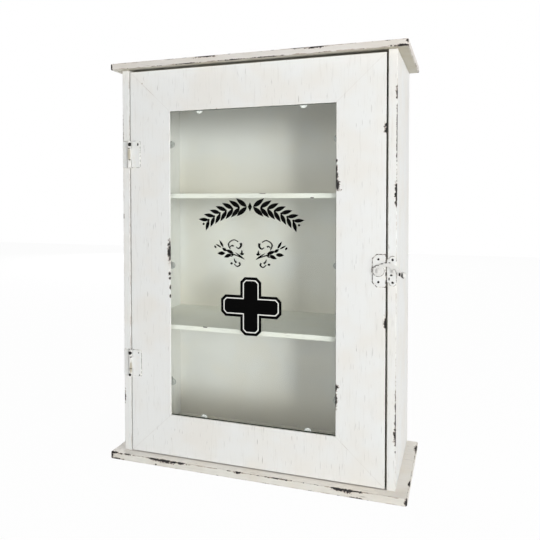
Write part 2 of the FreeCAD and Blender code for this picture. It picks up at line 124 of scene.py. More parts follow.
class Value:
    """A number that varies over a surface. Arithmetic on it adds Math nodes."""

    __add__, __radd__ = both_ways("ADD")
    __sub__, __rsub__ = both_ways("SUBTRACT")
    __mul__, __rmul__ = both_ways("MULTIPLY")
    __truediv__, __rtruediv__ = both_ways("DIVIDE")
    __pow__, __rpow__ = both_ways("POWER")

    def __init__(self, recipe, socket):
        self.recipe = recipe
        self.socket = socket

    def __abs__(self):
        return self.math("ABSOLUTE", self)

    def math(self, operation, first, second=0.0):
        return self.recipe.node("ShaderNodeMath", {"operation": operation}, {0: first, 1: second})

    def chain(self, operation, others):
        """The operation on this number and the first of the others, then on that and the next."""
        whole = self
        for other in others:
            whole = self.math(operation, whole, other)
        return whole

    def least(self, *others):
        return self.chain("MINIMUM", others)

    def most(self, *others):
        return self.chain("MAXIMUM", others)

    def above(self, level):
        return self.math("GREATER_THAN", self, level)

    def ramp(self, start, end):
        """0 at start, 1 at end, smooth between. Start may be the larger."""
        rising = {1: start, 2: end, 3: 0.0, 4: 1.0}
        falling = {1: end, 2: start, 3: 1.0, 4: 0.0}
        sockets = {0: self, **(rising if start < end else falling)}
        return self.recipe.node("ShaderNodeMapRange", {"interpolation_type": "SMOOTHSTEP"}, sockets)


class Recipe:
    """One node tree, from place on the piece to finished surface. It makes a material, or fills a world."""

    def __init__(self, name, world=None):
        self.made = world or bpy.data.materials.new(name)
        self.made.use_nodes = True
        self.tree = self.made.node_tree
        self.tree.nodes.clear()

    def node(self, kind, settings=None, sockets=None, output=0):
        made = self.tree.nodes.new(kind)
        for key, value in (settings or {}).items():
            setattr(made, key, value)
        for key, value in (sockets or {}).items():
            if isinstance(value, Value):
                self.tree.links.new(value.socket, made.inputs[key])
            else:
                made.inputs[key].default_value = value
        return Value(self, made.outputs[output]) if made.outputs else None

    def vector(self, operation, first, second=None, scale=None, output=0):
        sockets = {0: first}
        if second is not None:
            sockets[1] = second
        if scale is not None:
            sockets["Scale"] = scale
        return self.node("ShaderNodeVectorMath", {"operation": operation}, sockets, output)

    def place(self):
        """The place on the piece, in millimetres."""
        coordinates = self.node("ShaderNodeTexCoord", output="Object")
        return self.vector("SCALE", coordinates, scale=1 / MM)

    def parts(self, vector):
        """The three numbers of a vector."""
        split = self.node("ShaderNodeSeparateXYZ", {}, {0: vector})
        return [Value(self, socket) for socket in split.socket.node.outputs]

    def noise(self, place, size, detail=3.0, roughness=0.55, output=0):
        """Noise with features about size millimetres across. A triple stretches it along an axis."""
        stretch = size if isinstance(size, tuple) else (size, size, size)
        scaled = self.vector("DIVIDE", place, stretch)
        sockets = {"Vector": scaled, "Scale": 1.0, "Detail": detail, "Roughness": roughness}
        return self.node("ShaderNodeTexNoise", {}, sockets, output)

    def mix(self, factor, first, second):
        """Blends two colours."""
        return self.node("ShaderNodeMix", {"data_type": "RGBA"}, {0: factor, 6: first, 7: second}, 2)

    def bump(self, height, distance, strength):
        return self.node("ShaderNodeBump", {}, {"Height": height, "Distance": distance, "Strength": strength})

    def finish(self, **sockets):
        """Ends the tree in a Principled shader. Sockets are named in lower case with underscores."""
        named = {key.replace("_", " ").title().replace("Ior", "IOR"): value for key, value in sockets.items()}
        return self.output(self.node("ShaderNodeBsdfPrincipled", {}, named))

    def output(self, surface, kind="ShaderNodeOutputMaterial"):
        self.node(kind, {}, {"Surface": surface})
        return self.made


def rgb(red, green, blue):
    """A colour written as the eye reads it, from 0 to 255, as the linear colour that shaders use."""
    shares = [level / 255 for level in (red, green, blue)]
    linear = [s / 12.92 if s <= 0.04045 else ((s + 0.055) / 1.055) ** 2.4 for s in shares]
    return (*linear, 1.0)


print("middle grey in linear light:", [round(level, 3) for level in rgb(128, 128, 128)[:3]])

# %% [markdown]
# The paint is a white coat over a dark stain, rubbed through on the edges. A scanned texture would show
# this for one board only. Here the shader measures how far a point lies from the nearest edge of its board
# and wears the paint there by noise, so every board wears where hands and cloths would reach it. The few
# deep chips are ellipsoids with a ragged rim, each named by its middle and its half lengths.

# %% Edges and chips
FLAKE_SIZE = 3.4


def ragged(recipe, place, size, amount):
    """The place, pushed about by noise, so that what is measured from it gets a ragged rim."""
    push = recipe.noise(place, size, detail=4.0, roughness=0.65, output=1)
    centred = recipe.vector("SUBTRACT", push, (0.5, 0.5, 0.5))
    return recipe.vector("ADD", place, recipe.vector("SCALE", centred, scale=amount))


def chip_field(recipe, place, chips, broken=0.0):
    """How far a point lies from the nearest chip: under 1 inside it. Broken tears up its rim."""
    reaches = []
    for middle, half in chips:
        offset = recipe.vector("DIVIDE", recipe.vector("SUBTRACT", place, middle), half)
        reaches.append(recipe.vector("LENGTH", offset, output="Value"))
    field = reaches[0].least(*reaches[1:])
    if not broken:
        return field
    flakes = recipe.noise(place, FLAKE_SIZE, detail=3.0, roughness=0.75)
    return field + (flakes - 0.5) * broken


def box_parts(recipe, place, low, high, inside=True):
    """How far a point lies within a box's faces along X, Y and Z, or else how far beyond them."""
    middle, half = (low + high) / 2 / MM, (high - low) / 2 / MM
    offset = recipe.vector("ABSOLUTE", recipe.vector("SUBTRACT", place, middle))
    terms = (half, offset) if inside else (offset, half)
    return recipe.parts(recipe.vector("SUBTRACT", *terms))


def board_edge(low, high):
    """Makes the function that says how far a point on a cuboid board is from its nearest edge."""

    def edge_of(recipe, place):
        x, y, z = box_parts(recipe, place, low, high)
        return x.least(y).most(x.most(y).least(z))

    return edge_of


print("rims of the chips flake by about", FLAKE_SIZE, "mm")

# %% [markdown]
# The coat itself has layers, as the real one does: a warm drift in the white, streaks and hairline cracks
# along the brush, undercoat where it is rubbed, and bare stain in the chips. Separate decals could lie on
# top for each mark. Layers in one shader keep the surface whole, and each board gets its own marks.

# %% Worn paint
PAINT_WHITE, PAINT_CREAM = rgb(228, 229, 227), rgb(226, 223, 216)
STREAK = rgb(190, 186, 178)
HAIRLINE = rgb(112, 106, 98)
UNDERCOAT = rgb(158, 140, 126)
DARK_STAIN = rgb(20, 16, 15)
RAG_SIZE, RAG_REACH = 2.0, 1.5
WARM_SIZE, HAIR_PATCH_SIZE, RUB_PATCH_SIZE = 46.0, 24.0, 17.0
DASH_SIZE, CLOUD_SIZE = 8.0, 9.0
HAIR_FINENESS, BRUSH_FINENESS = 0.4, 0.6
CHIP_BREAKUP = 3.6
PAINT_RELIEF = 0.2 * MM
ALONG_X, ALONG_Z = (60.0, 2.2, 2.2), (2.6, 2.6, 42.0)


def finer(size, share):
    """A stretched noise size, made smaller all round."""
    return tuple(length * share for length in size)


def worn_paint(name, edge_of, streak_size, chips=(), marks=(), colours=(PAINT_WHITE, PAINT_CREAM),
               rub=0.3, deep=0.0, unpainted_and_shade=None, seams=None, shine=0.5):
    """White paint, worn along the edges that edge_of measures, streaked along the brush.

    Rub is how far from an edge, in millimetres, the undercoat may show, and deep the same for the stain.
    The unpainted mask says where the brush never reached and the dark stain shows; on the door's edges that
    stain also stands for painted shade in the gaps round the door. Seams say where two boards meet, and shine
    how glossy it is."""
    recipe = Recipe(name)
    place = recipe.place()
    rough_place = ragged(recipe, place, RAG_SIZE, RAG_REACH)
    edge = edge_of(recipe, rough_place)

    warmth = recipe.noise(place, WARM_SIZE, detail=2.0).ramp(0.36, 0.70)
    colour = recipe.mix(warmth * 0.7, *colours)
    streaks = recipe.noise(place, streak_size, detail=3.0, roughness=0.6)
    colour = recipe.mix(streaks.ramp(0.52, 0.78) * 0.22, colour, STREAK)
    hair_patch = recipe.noise(place, HAIR_PATCH_SIZE, detail=2.0).ramp(0.50, 0.68)
    cracks = recipe.noise(place, finer(streak_size, HAIR_FINENESS), detail=1.0).ramp(0.67, 0.77)
    hair = cracks * hair_patch.most(0.3)
    colour = recipe.mix(hair * 0.85, colour, HAIRLINE)

    if rub:
        patch = recipe.noise(place, RUB_PATCH_SIZE, detail=3.0, roughness=0.6)
        rubbed = (edge - patch.ramp(0.36, 0.72) * rub).ramp(0.3, -0.25)
        colour = recipe.mix(rubbed * 0.75, colour, UNDERCOAT)
    if marks:
        marked = chip_field(recipe, rough_place, marks).ramp(1.2, 0.7)
        colour = recipe.mix(marked * 0.6, colour, UNDERCOAT)
    if seams:
        colour = recipe.mix(seams(recipe, place) * hair_patch.most(0.25) * 0.45, colour, UNDERCOAT)

    bare = []
    if deep:
        dashes = recipe.noise(place, DASH_SIZE, detail=4.0, roughness=0.7)
        bare.append((edge - dashes.ramp(0.50, 0.68) * deep).ramp(0.05, -0.2))
    if chips:
        field = chip_field(recipe, rough_place, chips, CHIP_BREAKUP)
        colour = recipe.mix(field.ramp(1.35, 1.0) * 0.7, colour, UNDERCOAT)
        bare.append(field.ramp(1.02, 0.9))
    # Where the brush never reached: dark stain, which on the door also stands for painted shade in its gaps.
    if unpainted_and_shade:
        bare.append(unpainted_and_shade(recipe, place))

    cloud = recipe.noise(place, CLOUD_SIZE, detail=4.0)
    brush = recipe.noise(place, finer(streak_size, BRUSH_FINENESS), detail=4.0)
    height = brush * 0.35 - hair * 0.3
    roughness = 0.44 + cloud * 0.14
    if bare:
        stained = bare[0].most(*bare[1:])
        colour = recipe.mix(stained, colour, DARK_STAIN)
        height = height - stained
        roughness = roughness + stained * 0.3
    normal = recipe.bump(height, PAINT_RELIEF, 0.3)
    return recipe.finish(base_color=colour, roughness=roughness, normal=normal, specular_ior_level=shine)


print("brush strokes in mm:", ALONG_X[0], "along boards,", ALONG_Z[2], "along uprights")

# %% [markdown]
# A board's edges are never knife sharp: paint and sanding round them. A Bevel modifier would do, but the
# bevel operator leaves the mesh itself finished. A Weighted Normal modifier then keeps the large faces flat
# to the light while the narrow round edges stay smooth.

# %% Mesh helpers
EDGE_RADIUS = 0.7 * MM
SHARP_ANGLE = math.radians(50)
FACING = 0.99


def cuboid(low, high):
    shape = bmesh.new()
    bmesh.ops.create_cube(shape, size=1.0)
    bmesh.ops.scale(shape, vec=high - low, verts=shape.verts)
    bmesh.ops.translate(shape, vec=(low + high) / 2, verts=shape.verts)
    return shape


def prism(outline, direction):
    """A solid between a flat outline and the same outline moved along a direction."""
    shape = bmesh.new()
    face = shape.faces.new([shape.verts.new(point) for point in outline])
    pulled = bmesh.ops.extrude_face_region(shape, geom=[face])["geom"]
    far_verts = [item for item in pulled if isinstance(item, bmesh.types.BMVert)]
    bmesh.ops.translate(shape, vec=direction, verts=far_verts)
    bmesh.ops.recalc_face_normals(shape, faces=shape.faces)
    return shape


def round_edges(shape, edges, radius, segments):
    bmesh.ops.bevel(
        shape, geom=edges, offset=radius, affect="EDGES", segments=segments, profile=0.5, material=-1,
        clamp_overlap=True,
    )
    return shape


def soften(shape, radius, segments=3, least_turn=30):
    """Rounds every edge that turns by more than least_turn, in degrees."""
    turned = [edge for edge in shape.edges if edge.calc_face_angle(0) > math.radians(least_turn)]
    return round_edges(shape, turned, radius, segments)


def mark_faces(shape, direction):
    """Puts the large faces that look in a direction into the second material slot."""
    shape.normal_update()
    for face in shape.faces:
        if face.normal.dot(direction) > FACING:
            face.material_index = 1


def joined(*shapes):
    """Several shapes in one mesh."""
    whole = bmesh.new()
    for shape in shapes:
        mesh = bpy.data.meshes.new("part")
        shape.to_mesh(mesh)
        shape.free()
        whole.from_mesh(mesh)
        bpy.data.meshes.remove(mesh)
    return whole


def piece(name, shape, material, body, slot, *nodes):
    """Makes an object of a finished shape, riding on a body and standing for CAD nodes."""
    mesh = bpy.data.meshes.new(name)
    shape.to_mesh(mesh)
    shape.free()
    mesh.shade_smooth()
    mesh.set_sharp_from_angle(angle=SHARP_ANGLE)
    made = bpy.data.objects.new(name, mesh)
    bpy.context.scene.collection.objects.link(made)
    made.data.materials.append(material)
    flat_light = made.modifiers.new("flat_light", "WEIGHTED_NORMAL")
    flat_light.keep_sharp = True
    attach(made, body)
    if nodes:
        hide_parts(*nodes)
    print(name, len(mesh.polygons), "faces")
    return made


print("wooden edges are rounded by", round(EDGE_RADIUS / MM, 2), "mm")

# %% [markdown]
# The top and base boards are plain planks that overhang the box. Their front arrises carry most of the
# wear, with a few long chips down to the stain. One bevel could round all the edges alike. Two in turn give
# the upright corners a larger radius than the arrises, as a block plane and then sandpaper do.

# %% Top and base boards
top_low, top_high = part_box("top_board")
base_low, base_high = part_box("base_board")
top_left, top_right, top_front = top_low.x / MM, top_high.x / MM, top_low.y / MM
roof, ceiling = top_high.z / MM, top_low.z / MM
base_left, base_right, base_front = base_low.x / MM, base_high.x / MM, base_low.y / MM
wall_side, base_top = base_high.y / MM, base_high.z / MM

TOP_CHIPS = (
    ((-53, top_front, roof), (15, 3, 1.7)),
    ((80, top_front, roof), (11, 3, 1.9)),
    ((60, top_front, roof), (9, 3, 1.0)),
    ((top_right - 5, top_front, ceiling + 0.6), (10, 2.4, 1.3)),
    ((top_right, top_front, ceiling + 5), (1.8, 1.8, 4.5)),
    ((top_left + 0.6, top_front + 1.5, ceiling + 3.5), (2.6, 3.5, 6.5)),
    ((-20, top_front, ceiling + 0.2), (14, 1.2, 0.6)),
    ((25, top_front, ceiling + 0.2), (18, 1.2, 0.5)),
    ((-75, top_front, ceiling + 0.2), (14, 1.2, 0.5)),
    ((top_right, wall_side - 2, ceiling + 1), (1.5, 4, 2)),
)
BASE_CHIPS = (
    ((-107, base_front, base_top - 0.8), (12, 1.8, 2.6)),
    ((-120, base_front, base_top - 0.3), (8, 1.4, 1.2)),
    ((-86, base_front, base_top - 0.5), (11, 1.4, 1.3)),
    ((-10, base_front, base_top - 0.4), (5, 1.4, 1.6)),
    ((40, base_front, base_top), (14, 1.2, 0.9)),
    ((103, base_front, base_top - 0.2), (5, 1.2, 1.0)),
    ((113, base_front, base_top - 0.8), (11, 1.6, 2.5)),
    ((128, base_front, base_top - 0.4), (6, 1.2, 1.1)),
    ((base_left + 5, base_front, base_top), (9, 2.2, 1.8)),
    ((base_left + 1, base_front + 0.6, 4.5), (3.4, 3, 5.5)),
    ((base_left + 9, base_front, 0.3), (11, 1.8, 1.5)),
    ((-158, base_front, base_top), (9, 1.4, 1.3)),
    ((-117.5, base_front, 1.5), (1.2, 1, 1.1)),
    ((126, base_front, 0.3), (7, 1.4, 1.2)),
    ((base_right, base_front + 1, 5), (2.3, 2.3, 6)),
    ((base_right, 62, base_top - 0.5), (2.6, 11, 3.0)),
    ((base_right, -46, base_top - 0.5), (1.8, 8, 1.8)),
)
TOP_COLOURS = (rgb(215, 211, 205), rgb(210, 203, 193))
# The top board's underside: darker and beiger than its front, as dirt and painted shade.
DIRTY_SHADED_UNDERSIDE_COLOURS = (rgb(207, 203, 190), rgb(200, 192, 172))
BASE_COLOURS = (rgb(220, 218, 210), rgb(214, 208, 197))
# The base's top face: brighter than its front, as painted light.
LIT_BASE_TOP_COLOURS = (rgb(249, 245, 238), rgb(247, 240, 228))
BOARD_CORNER, BOARD_ARRIS = 3 * MM, 1 * MM
BOARD_WEAR = {"rub": 1.2, "deep": 1.0}
FACE_SHINE = 0.04
UP, DOWN = Vector((0, 0, 1)), Vector((0, 0, -1))


def board(name, chips, colours, shown, painted_light_and_dirt_colours):
    """A board, with a duller paint of its own on the large face that shows. Its colours hold painted light:
    brighter on the base's top, and darker beige on the top board's underside as dirt and painted shade.
    """
    low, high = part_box(name)
    edge_of = board_edge(low, high)
    paint = worn_paint(name + "_paint", edge_of, ALONG_X, chips, colours=colours, **BOARD_WEAR)
    painted_light_and_dirt_paint = worn_paint(
        name + "_face", edge_of, ALONG_X, chips, colours=painted_light_and_dirt_colours, shine=FACE_SHINE, **BOARD_WEAR,
    )
    shape = cuboid(low, high)
    uprights = [edge for edge in shape.edges if abs(edge.verts[0].co.z - edge.verts[1].co.z) > EDGE_RADIUS]
    round_edges(shape, uprights, BOARD_CORNER, 6)
    soften(shape, BOARD_ARRIS, 3, 60)
    mark_faces(shape, shown)
    made = piece(name, shape, paint, "cabinet", "painted_wood", name)
    made.data.materials.append(painted_light_and_dirt_paint)
    return made


board("top_board", TOP_CHIPS, TOP_COLOURS, DOWN, DIRTY_SHADED_UNDERSIDE_COLOURS)
board("base_board", BASE_CHIPS, BASE_COLOURS, UP, LIT_BASE_TOP_COLOURS)

# %% [markdown]
# Each side is an upright board with a rabbet behind, where the back panel sits. The rabbet could be cut from
# a cuboid with a boolean, which leaves untidy faces. Here the outline is drawn once as seen from above, with
# the rabbet in it, and pulled up to the top board.

# %% Sides
RABBET_WIDE, RABBET_DEEP = 5 * MM, 4 * MM
# Inside paint, whiter than the outside as painted light.
LIT_INSIDE_COLOURS = (rgb(243, 244, 241), rgb(242, 241, 234))
front_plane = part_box("left_side")[0].y / MM
body_left, body_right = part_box("left_side")[0].x / MM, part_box("right_side")[1].x / MM
RIGHT_SIDE_CHIPS = (
    ((body_right, front_plane, 445), (1.8, 2.2, 7.5)),
    ((body_right, front_plane, 69.5), (2.1, 2.6, 12)),
    ((body_right, front_plane, 52.5), (1.3, 1.3, 1.6)),
    ((body_right, front_plane, 402.5), (0.8, 0.8, 40)),
    ((body_right, front_plane, 341.5), (2.6, 2.6, 5)),
    ((body_right, front_plane, 334.5), (1.9, 2.0, 10)),
    ((body_right, front_plane, 95.5), (0.9, 0.9, 24)),
)
LEFT_SIDE_CHIPS = (
    ((body_left, front_plane, 308.5), (1.5, 1.6, 3.5)),
    ((body_left, front_plane, 78.5), (1.5, 1.6, 8)),
    ((body_left, front_plane, 410.5), (0.7, 0.8, 26)),
)


def side(name, inward, chips):
    """An upright side. Inward is 1 where the inside lies towards +X."""
    low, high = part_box(name)
    outer, inner = (low.x, high.x) if inward > 0 else (high.x, low.x)
    step_x, step_y = inner - inward * RABBET_WIDE, high.y - RABBET_DEEP
    corners = (
        (outer, low.y), (inner, low.y), (inner, step_y), (step_x, step_y), (step_x, high.y), (outer, high.y),
    )
    shape = prism([Vector((x, y, low.z)) for x, y in corners], Vector((0, 0, high.z - low.z)))
    edge_of = board_edge(low, high)
    outside = worn_paint(name + "_paint", edge_of, ALONG_Z, chips, rub=0.6, deep=0.2)
    inside = worn_paint(name + "_inside", edge_of, ALONG_Z, colours=LIT_INSIDE_COLOURS, rub=0)
    mark_faces(soften(shape, EDGE_RADIUS), Vector((inward, 0, 0)))
    made = piece(name, shape, outside, "cabinet", "painted_wood", name)
    made.data.materials.append(inside)
    return made


side("left_side", 1, LEFT_SIDE_CHIPS)
side("right_side", -1, RIGHT_SIDE_CHIPS)

# %% [markdown]
# The shelves sit in grooves in the sides, which hide their ends. The whole boards could stay and run into
# the sides. Drawn only from side to side, they look the same and nothing overlaps.

# %% Shelves
inner_left, inner_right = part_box("left_side")[1].x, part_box("right_side")[0].x
shelf_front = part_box("upper_shelf")[0].y / MM
# Shelf paint, whiter still, as painted light.
LIT_SHELF_COLOURS = (rgb(247, 249, 241), rgb(247, 247, 235))
SHELF_CHIPS = {
    "upper_shelf": (((72, shelf_front, 331.5), (2.0, 1, 0.8)), ((12, shelf_front, 336.8), (3, 1, 0.7))),
    "lower_shelf": (((-62, shelf_front, 171.5), (2.2, 1, 0.6)),),
}


def shelf(name, chips):
    low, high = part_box(name)
    low.x, high.x = inner_left, inner_right
    paint = worn_paint(
        name + "_paint", board_edge(low, high), ALONG_X, chips, colours=LIT_SHELF_COLOURS, rub=0.2,
    )
    return piece(name, soften(cuboid(low, high), EDGE_RADIUS), paint, "cabinet", "painted_wood", name)


for name, chips in SHELF_CHIPS.items():
    shelf(name, chips)

# %% [markdown]
# The back is a thin panel, painted inside and bare behind. Its solid shape is right as it is, so the CAD
# node stays and only gets a finish. Just above the base and each shelf the paint turns darker and warmer,
# fading upwards: painted shade. An image could hold that shade, but a shader that measures the height over
# each shelf keeps it in place whatever the size.

# %% Back panel
# Darker, warmer paint just above the base and each shelf: painted shade.
INSIDE_PAINTED_SHADE = rgb(234, 229, 214)
PAINTED_SHADE_REACH = 70
PANEL_CLOUD_SIZE = 60.0
FIBRE_SIZE = (14.0, 3.0, 1.2)
FIBRE_COLOURS = (rgb(128, 96, 66), rgb(166, 131, 94))
FIBRE_RELIEF = 0.15 * MM
BARE_SKIN = 0.3


def panel_paint():
    """Thin paint inside, whiter as painted light and darker just above the base and each shelf as painted
    shade; bare pressed board on the wall side.
    """
    recipe = Recipe("back_panel_paint")
    place = recipe.place()
    depth, height = recipe.parts(place)[1:]
    warmth = recipe.noise(place, PANEL_CLOUD_SIZE, detail=2.0).ramp(0.40, 0.66)
    paint = recipe.mix(warmth, *LIT_INSIDE_COLOURS)
    for level in (base_top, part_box("lower_shelf")[1].z / MM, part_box("upper_shelf")[1].z / MM):
        # painted shade, fading upwards from the base and from each shelf
        painted_shade_above = (height - level).ramp(PAINTED_SHADE_REACH, 0) * height.above(level - 1)
        paint = recipe.mix(painted_shade_above * 0.7, paint, INSIDE_PAINTED_SHADE)
    fibre = recipe.noise(place, FIBRE_SIZE, detail=5.0, roughness=0.7)
    bare = recipe.mix(fibre.ramp(0.3, 0.7), *FIBRE_COLOURS)
    behind = depth.above(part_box("back_panel")[1].y / MM - BARE_SKIN)
    colour = recipe.mix(behind, paint, bare)
    normal = recipe.bump(fibre, FIBRE_RELIEF, 0.25)
    return recipe.finish(base_color=colour, roughness=0.5 + behind * 0.3, normal=normal)


def dress(node, material):
    """Gives a carried-over node its finish."""
    slots = frame["nodes"][node].data.materials
    slots.clear()
    slots.append(material)
    print("kept", node, "as", material.name)


dress("back_panel", panel_paint())

# %% [markdown]
# The door's paint is worn at its outer edge and round the glass, and its free edges were never painted over
# the stain, which also stands for painted shade in the dark gaps round the door. Each member could have a
# paint of its own. One paint for all four, which measures from the whole door and from its opening, makes
# the wear and the fine lines of the mitres run on across the joints.

# %% Door paint
door_low, left_stile_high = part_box("left_stile")
right_stile_low, door_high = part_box("right_stile")
hole_low = Vector((left_stile_high.x, door_low.y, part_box("bottom_rail")[1].z))
hole_high = Vector((right_stile_low.x, door_high.y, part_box("top_rail")[0].z))
door_right, hole_left, hole_right = door_high.x / MM, hole_low.x / MM, hole_high.x / MM
DOOR_CHIPS = (
    ((door_right, front_plane, 410.5), (2.6, 2, 2.6)),
    ((door_right, front_plane, 404.5), (2.2, 2, 2.4)),
    ((door_right, front_plane, 193.5), (1.6, 2, 7)),
    ((hole_right, front_plane, 355), (2.2, 2, 12)),
    ((hole_right + 1, front_plane, 344.6), (3.6, 2, 4.6)),
    ((hole_right, front_plane, 372.7), (1.5, 2, 1.7)),
    ((hole_right, front_plane, 117), (2.6, 2, 4.2)),
    ((hole_right, front_plane, 103), (2.0, 2, 8)),
    ((hole_left - 1.1, front_plane, 264.0), (2.5, 2, 12)),
    ((hole_left - 0.8, front_plane, 237.8), (1.8, 2, 2.2)),
    ((hole_left - 1.2, front_plane, 232.3), (1.3, 2, 1.3)),
    ((hole_left, front_plane, 221), (1.1, 2, 2.8)),
    ((hole_left, front_plane, 210), (1.1, 2, 1.8)),
)
DOOR_MARKS = (
    ((-40.8, front_plane, 438), (1.0, 1, 1.4)),
    ((-140.3, front_plane, 474.5), (1.0, 1, 0.9)),
)
EDGE_PAINT = 1.2


def door_edge(recipe, place):
    """Distance to the nearest arris of the door frame, outside or round the glass."""
    outer = board_edge(door_low, door_high)(recipe, place)
    x, z = box_parts(recipe, place, hole_low, hole_high, inside=False)[::2]
    depth = recipe.parts(place)[1] - door_low.y / MM
    return outer.least(x.most(z, depth))


def door_stain_and_gap_shade(recipe, place):
    """The door's free edges, which keep the dark stain behind the front's paint. The stain also stands for
    painted shade in the gaps round the door.
    """
    x, z = box_parts(recipe, place, door_low, door_high)[::2]
    across, depth = recipe.parts(place)[:2]
    behind = (depth - door_low.y / MM).ramp(EDGE_PAINT * 0.7, EDGE_PAINT)
    off_hinges = across.above(door_low.x / MM + 1)
    return x.least(z).ramp(0.25, 0.1) * behind * off_hinges


def mitre_lines(recipe, place):
    """1 on the four mitres, which run from the corners of the door to the corners of the glass."""
    x, z = box_parts(recipe, place, hole_low, hole_high, inside=False)[::2]
    stile, rail = (hole_low.x - door_low.x) / MM, (hole_low.z - door_low.z) / MM
    across = (x * rail - z * stile) / math.hypot(stile, rail)
    return abs(across).ramp(0.55, 0.15)


door_paint = worn_paint(
    "door_paint", door_edge, ALONG_Z, DOOR_CHIPS, DOOR_MARKS, rub=0.25, unpainted_and_shade=door_stain_and_gap_shade,
    seams=mitre_lines,
)
print("door paint:", len(DOOR_CHIPS), "chips and", len(DOOR_MARKS), "marks")

# %% [markdown]
# The door frame is four mitred members with a rebate behind for the glass. Each could be a plain bar, cut at
# both ends by a slanted plane. Here its section is drawn once and pulled from mitre to mitre, with every
# corner of the section moved along by its share of the width, which makes the slanted ends directly.

# %% Door frame
REBATE_WIDE = 7 * MM
DOOR_ARRIS, MITRE_GROOVE = 0.6 * MM, 0.08 * MM
glass_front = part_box("glass_pane")[0].y
MEMBERS = (
    ("left_stile", True, False), ("right_stile", True, True),
    ("top_rail", False, True), ("bottom_rail", False, False),
)


def member(name, upright, far_side):
    """One frame member with mitred ends. Far side says that it is the one at the higher X or Z."""
    across, along = (0, 2) if upright else (2, 0)
    corners = (door_high, hole_high) if far_side else (door_low, hole_low)
    outer, inner = (corner[across] for corner in corners)
    start, end = door_low[along], door_high[along]
    width = abs(inner - outer)
    start_slant = (hole_low[along] - start) / width
    end_slant = (end - hole_high[along]) / width
    front, rear = door_low.y, door_high.y
    rebate = inner - math.copysign(REBATE_WIDE, inner - outer)
    section = (
        (outer, front), (inner, front), (inner, glass_front), (rebate, glass_front), (rebate, rear),
        (outer, rear),
    )

    def point(off, y, reach):
        return Vector((off, y, reach)) if upright else Vector((reach, y, off))

    outline = [point(off, y, start + abs(off - outer) * start_slant) for off, y in section]
    shape = prism(outline, point(0, 0, end - start))
    for vert in shape.verts:
        if vert.co[along] > (start + end) / 2:
            vert.co[along] = end - abs(vert.co[across] - outer) * end_slant
    long_edges = [edge for edge in shape.edges if edge.calc_length() > (end - start) / 2]
    round_edges(shape, long_edges, DOOR_ARRIS, 3)
    soften(shape, MITRE_GROOVE, 1, 35)
    return piece(name, shape, door_paint, "door", "painted_wood", name)


for name, upright, far_side in MEMBERS:
    member(name, upright, far_side)

# %% [markdown]
# The pane is clear float glass, faintly green. A Glass shader would stop the lamps' light at the pane and
# leave the shelves in the dark, so the pane is a tinted Transparent shader with a mirror laid over it. The
# mirror grows towards grazing view as on real glass, by the same curve from both sides of the pane.

# %% Glass
WHITE_LIGHT = (1, 1, 1, 1)
GLASS_TINT = (0.984, 0.992, 0.982, 1)
GLASS_GLOSS, GLASS_CURVE = 0.04, 5
GLASS_ROUGHNESS = 0.02


def pane_glass():
    recipe = Recipe("pane_glass")
    clear = recipe.node("ShaderNodeBsdfTransparent", {}, {"Color": GLASS_TINT})
    mirror = recipe.node("ShaderNodeBsdfGlossy", {}, {"Color": WHITE_LIGHT, "Roughness": GLASS_ROUGHNESS})
    facing = recipe.node("ShaderNodeLayerWeight", {}, {"Blend": 0.5}, "Facing")
    gloss = GLASS_GLOSS + (1 - GLASS_GLOSS) * facing ** GLASS_CURVE
    return recipe.output(recipe.node("ShaderNodeMixShader", {}, {0: gloss, 1: clear, 2: mirror}))


dress("glass_pane", pane_glass())

# %% [markdown]
# Stepped plastic clips hold the pane: white above and below, a greyer colour at the sides. Each is a round
# tab on the glass, a riser in the rebate, and a strip behind the frame with a round end. It could be one bent
# ribbon, but moulded clips have square steps, so three softened slabs are joined.

# %% Clips
CLIP_EDGE, CLIP_THICK, CLIP_STEP = 0.5 * MM, 2.5 * MM, 6.05 * MM
ROUND_STEPS = 12
CLIP_HAZE = 2.5
WHITE_PLASTIC = (rgb(244, 246, 244), rgb(234, 237, 234))
GREY_PLASTIC = (rgb(176, 179, 174), rgb(150, 153, 148))


def mottled(name, size, colours, spread, roughness, roughens=0.0, relief=None, detail=3.0, grit=0.55,
            **sockets):
    """A plain finish that drifts between two colours.

    Spread is where its noise turns from one colour to the other, roughens how much the noise adds to the
    roughness, and relief the depth and strength of its bump."""
    recipe = Recipe(name)
    noise = recipe.noise(recipe.place(), size, detail, grit)
    sockets["base_color"] = recipe.mix(noise.ramp(*spread), *colours)
    sockets["roughness"] = roughness + noise * roughens if roughens else roughness
    if relief:
        sockets["normal"] = recipe.bump(noise, *relief)
    return recipe.finish(**sockets)


def clip_plastic(name, colours):
    return mottled(name, CLIP_HAZE, colours, (0.35, 0.7), 0.28, 0.12, coat_weight=0.3)


def arc(centre_x, centre_z, radius, start, end, steps=ROUND_STEPS):
    """Points on an arc as seen from the front, from one angle in degrees to another."""
    turns = [math.radians(start + (end - start) * step / steps) for step in range(steps + 1)]
    return [(centre_x + radius * math.cos(turn), centre_z + radius * math.sin(turn)) for turn in turns]


def slab(outline, front, back):
    """A flat plate that faces the front, from its outline of (x, z) points."""
    return prism([Vector((x, back, z)) for x, z in outline], Vector((0, front - back, 0)))


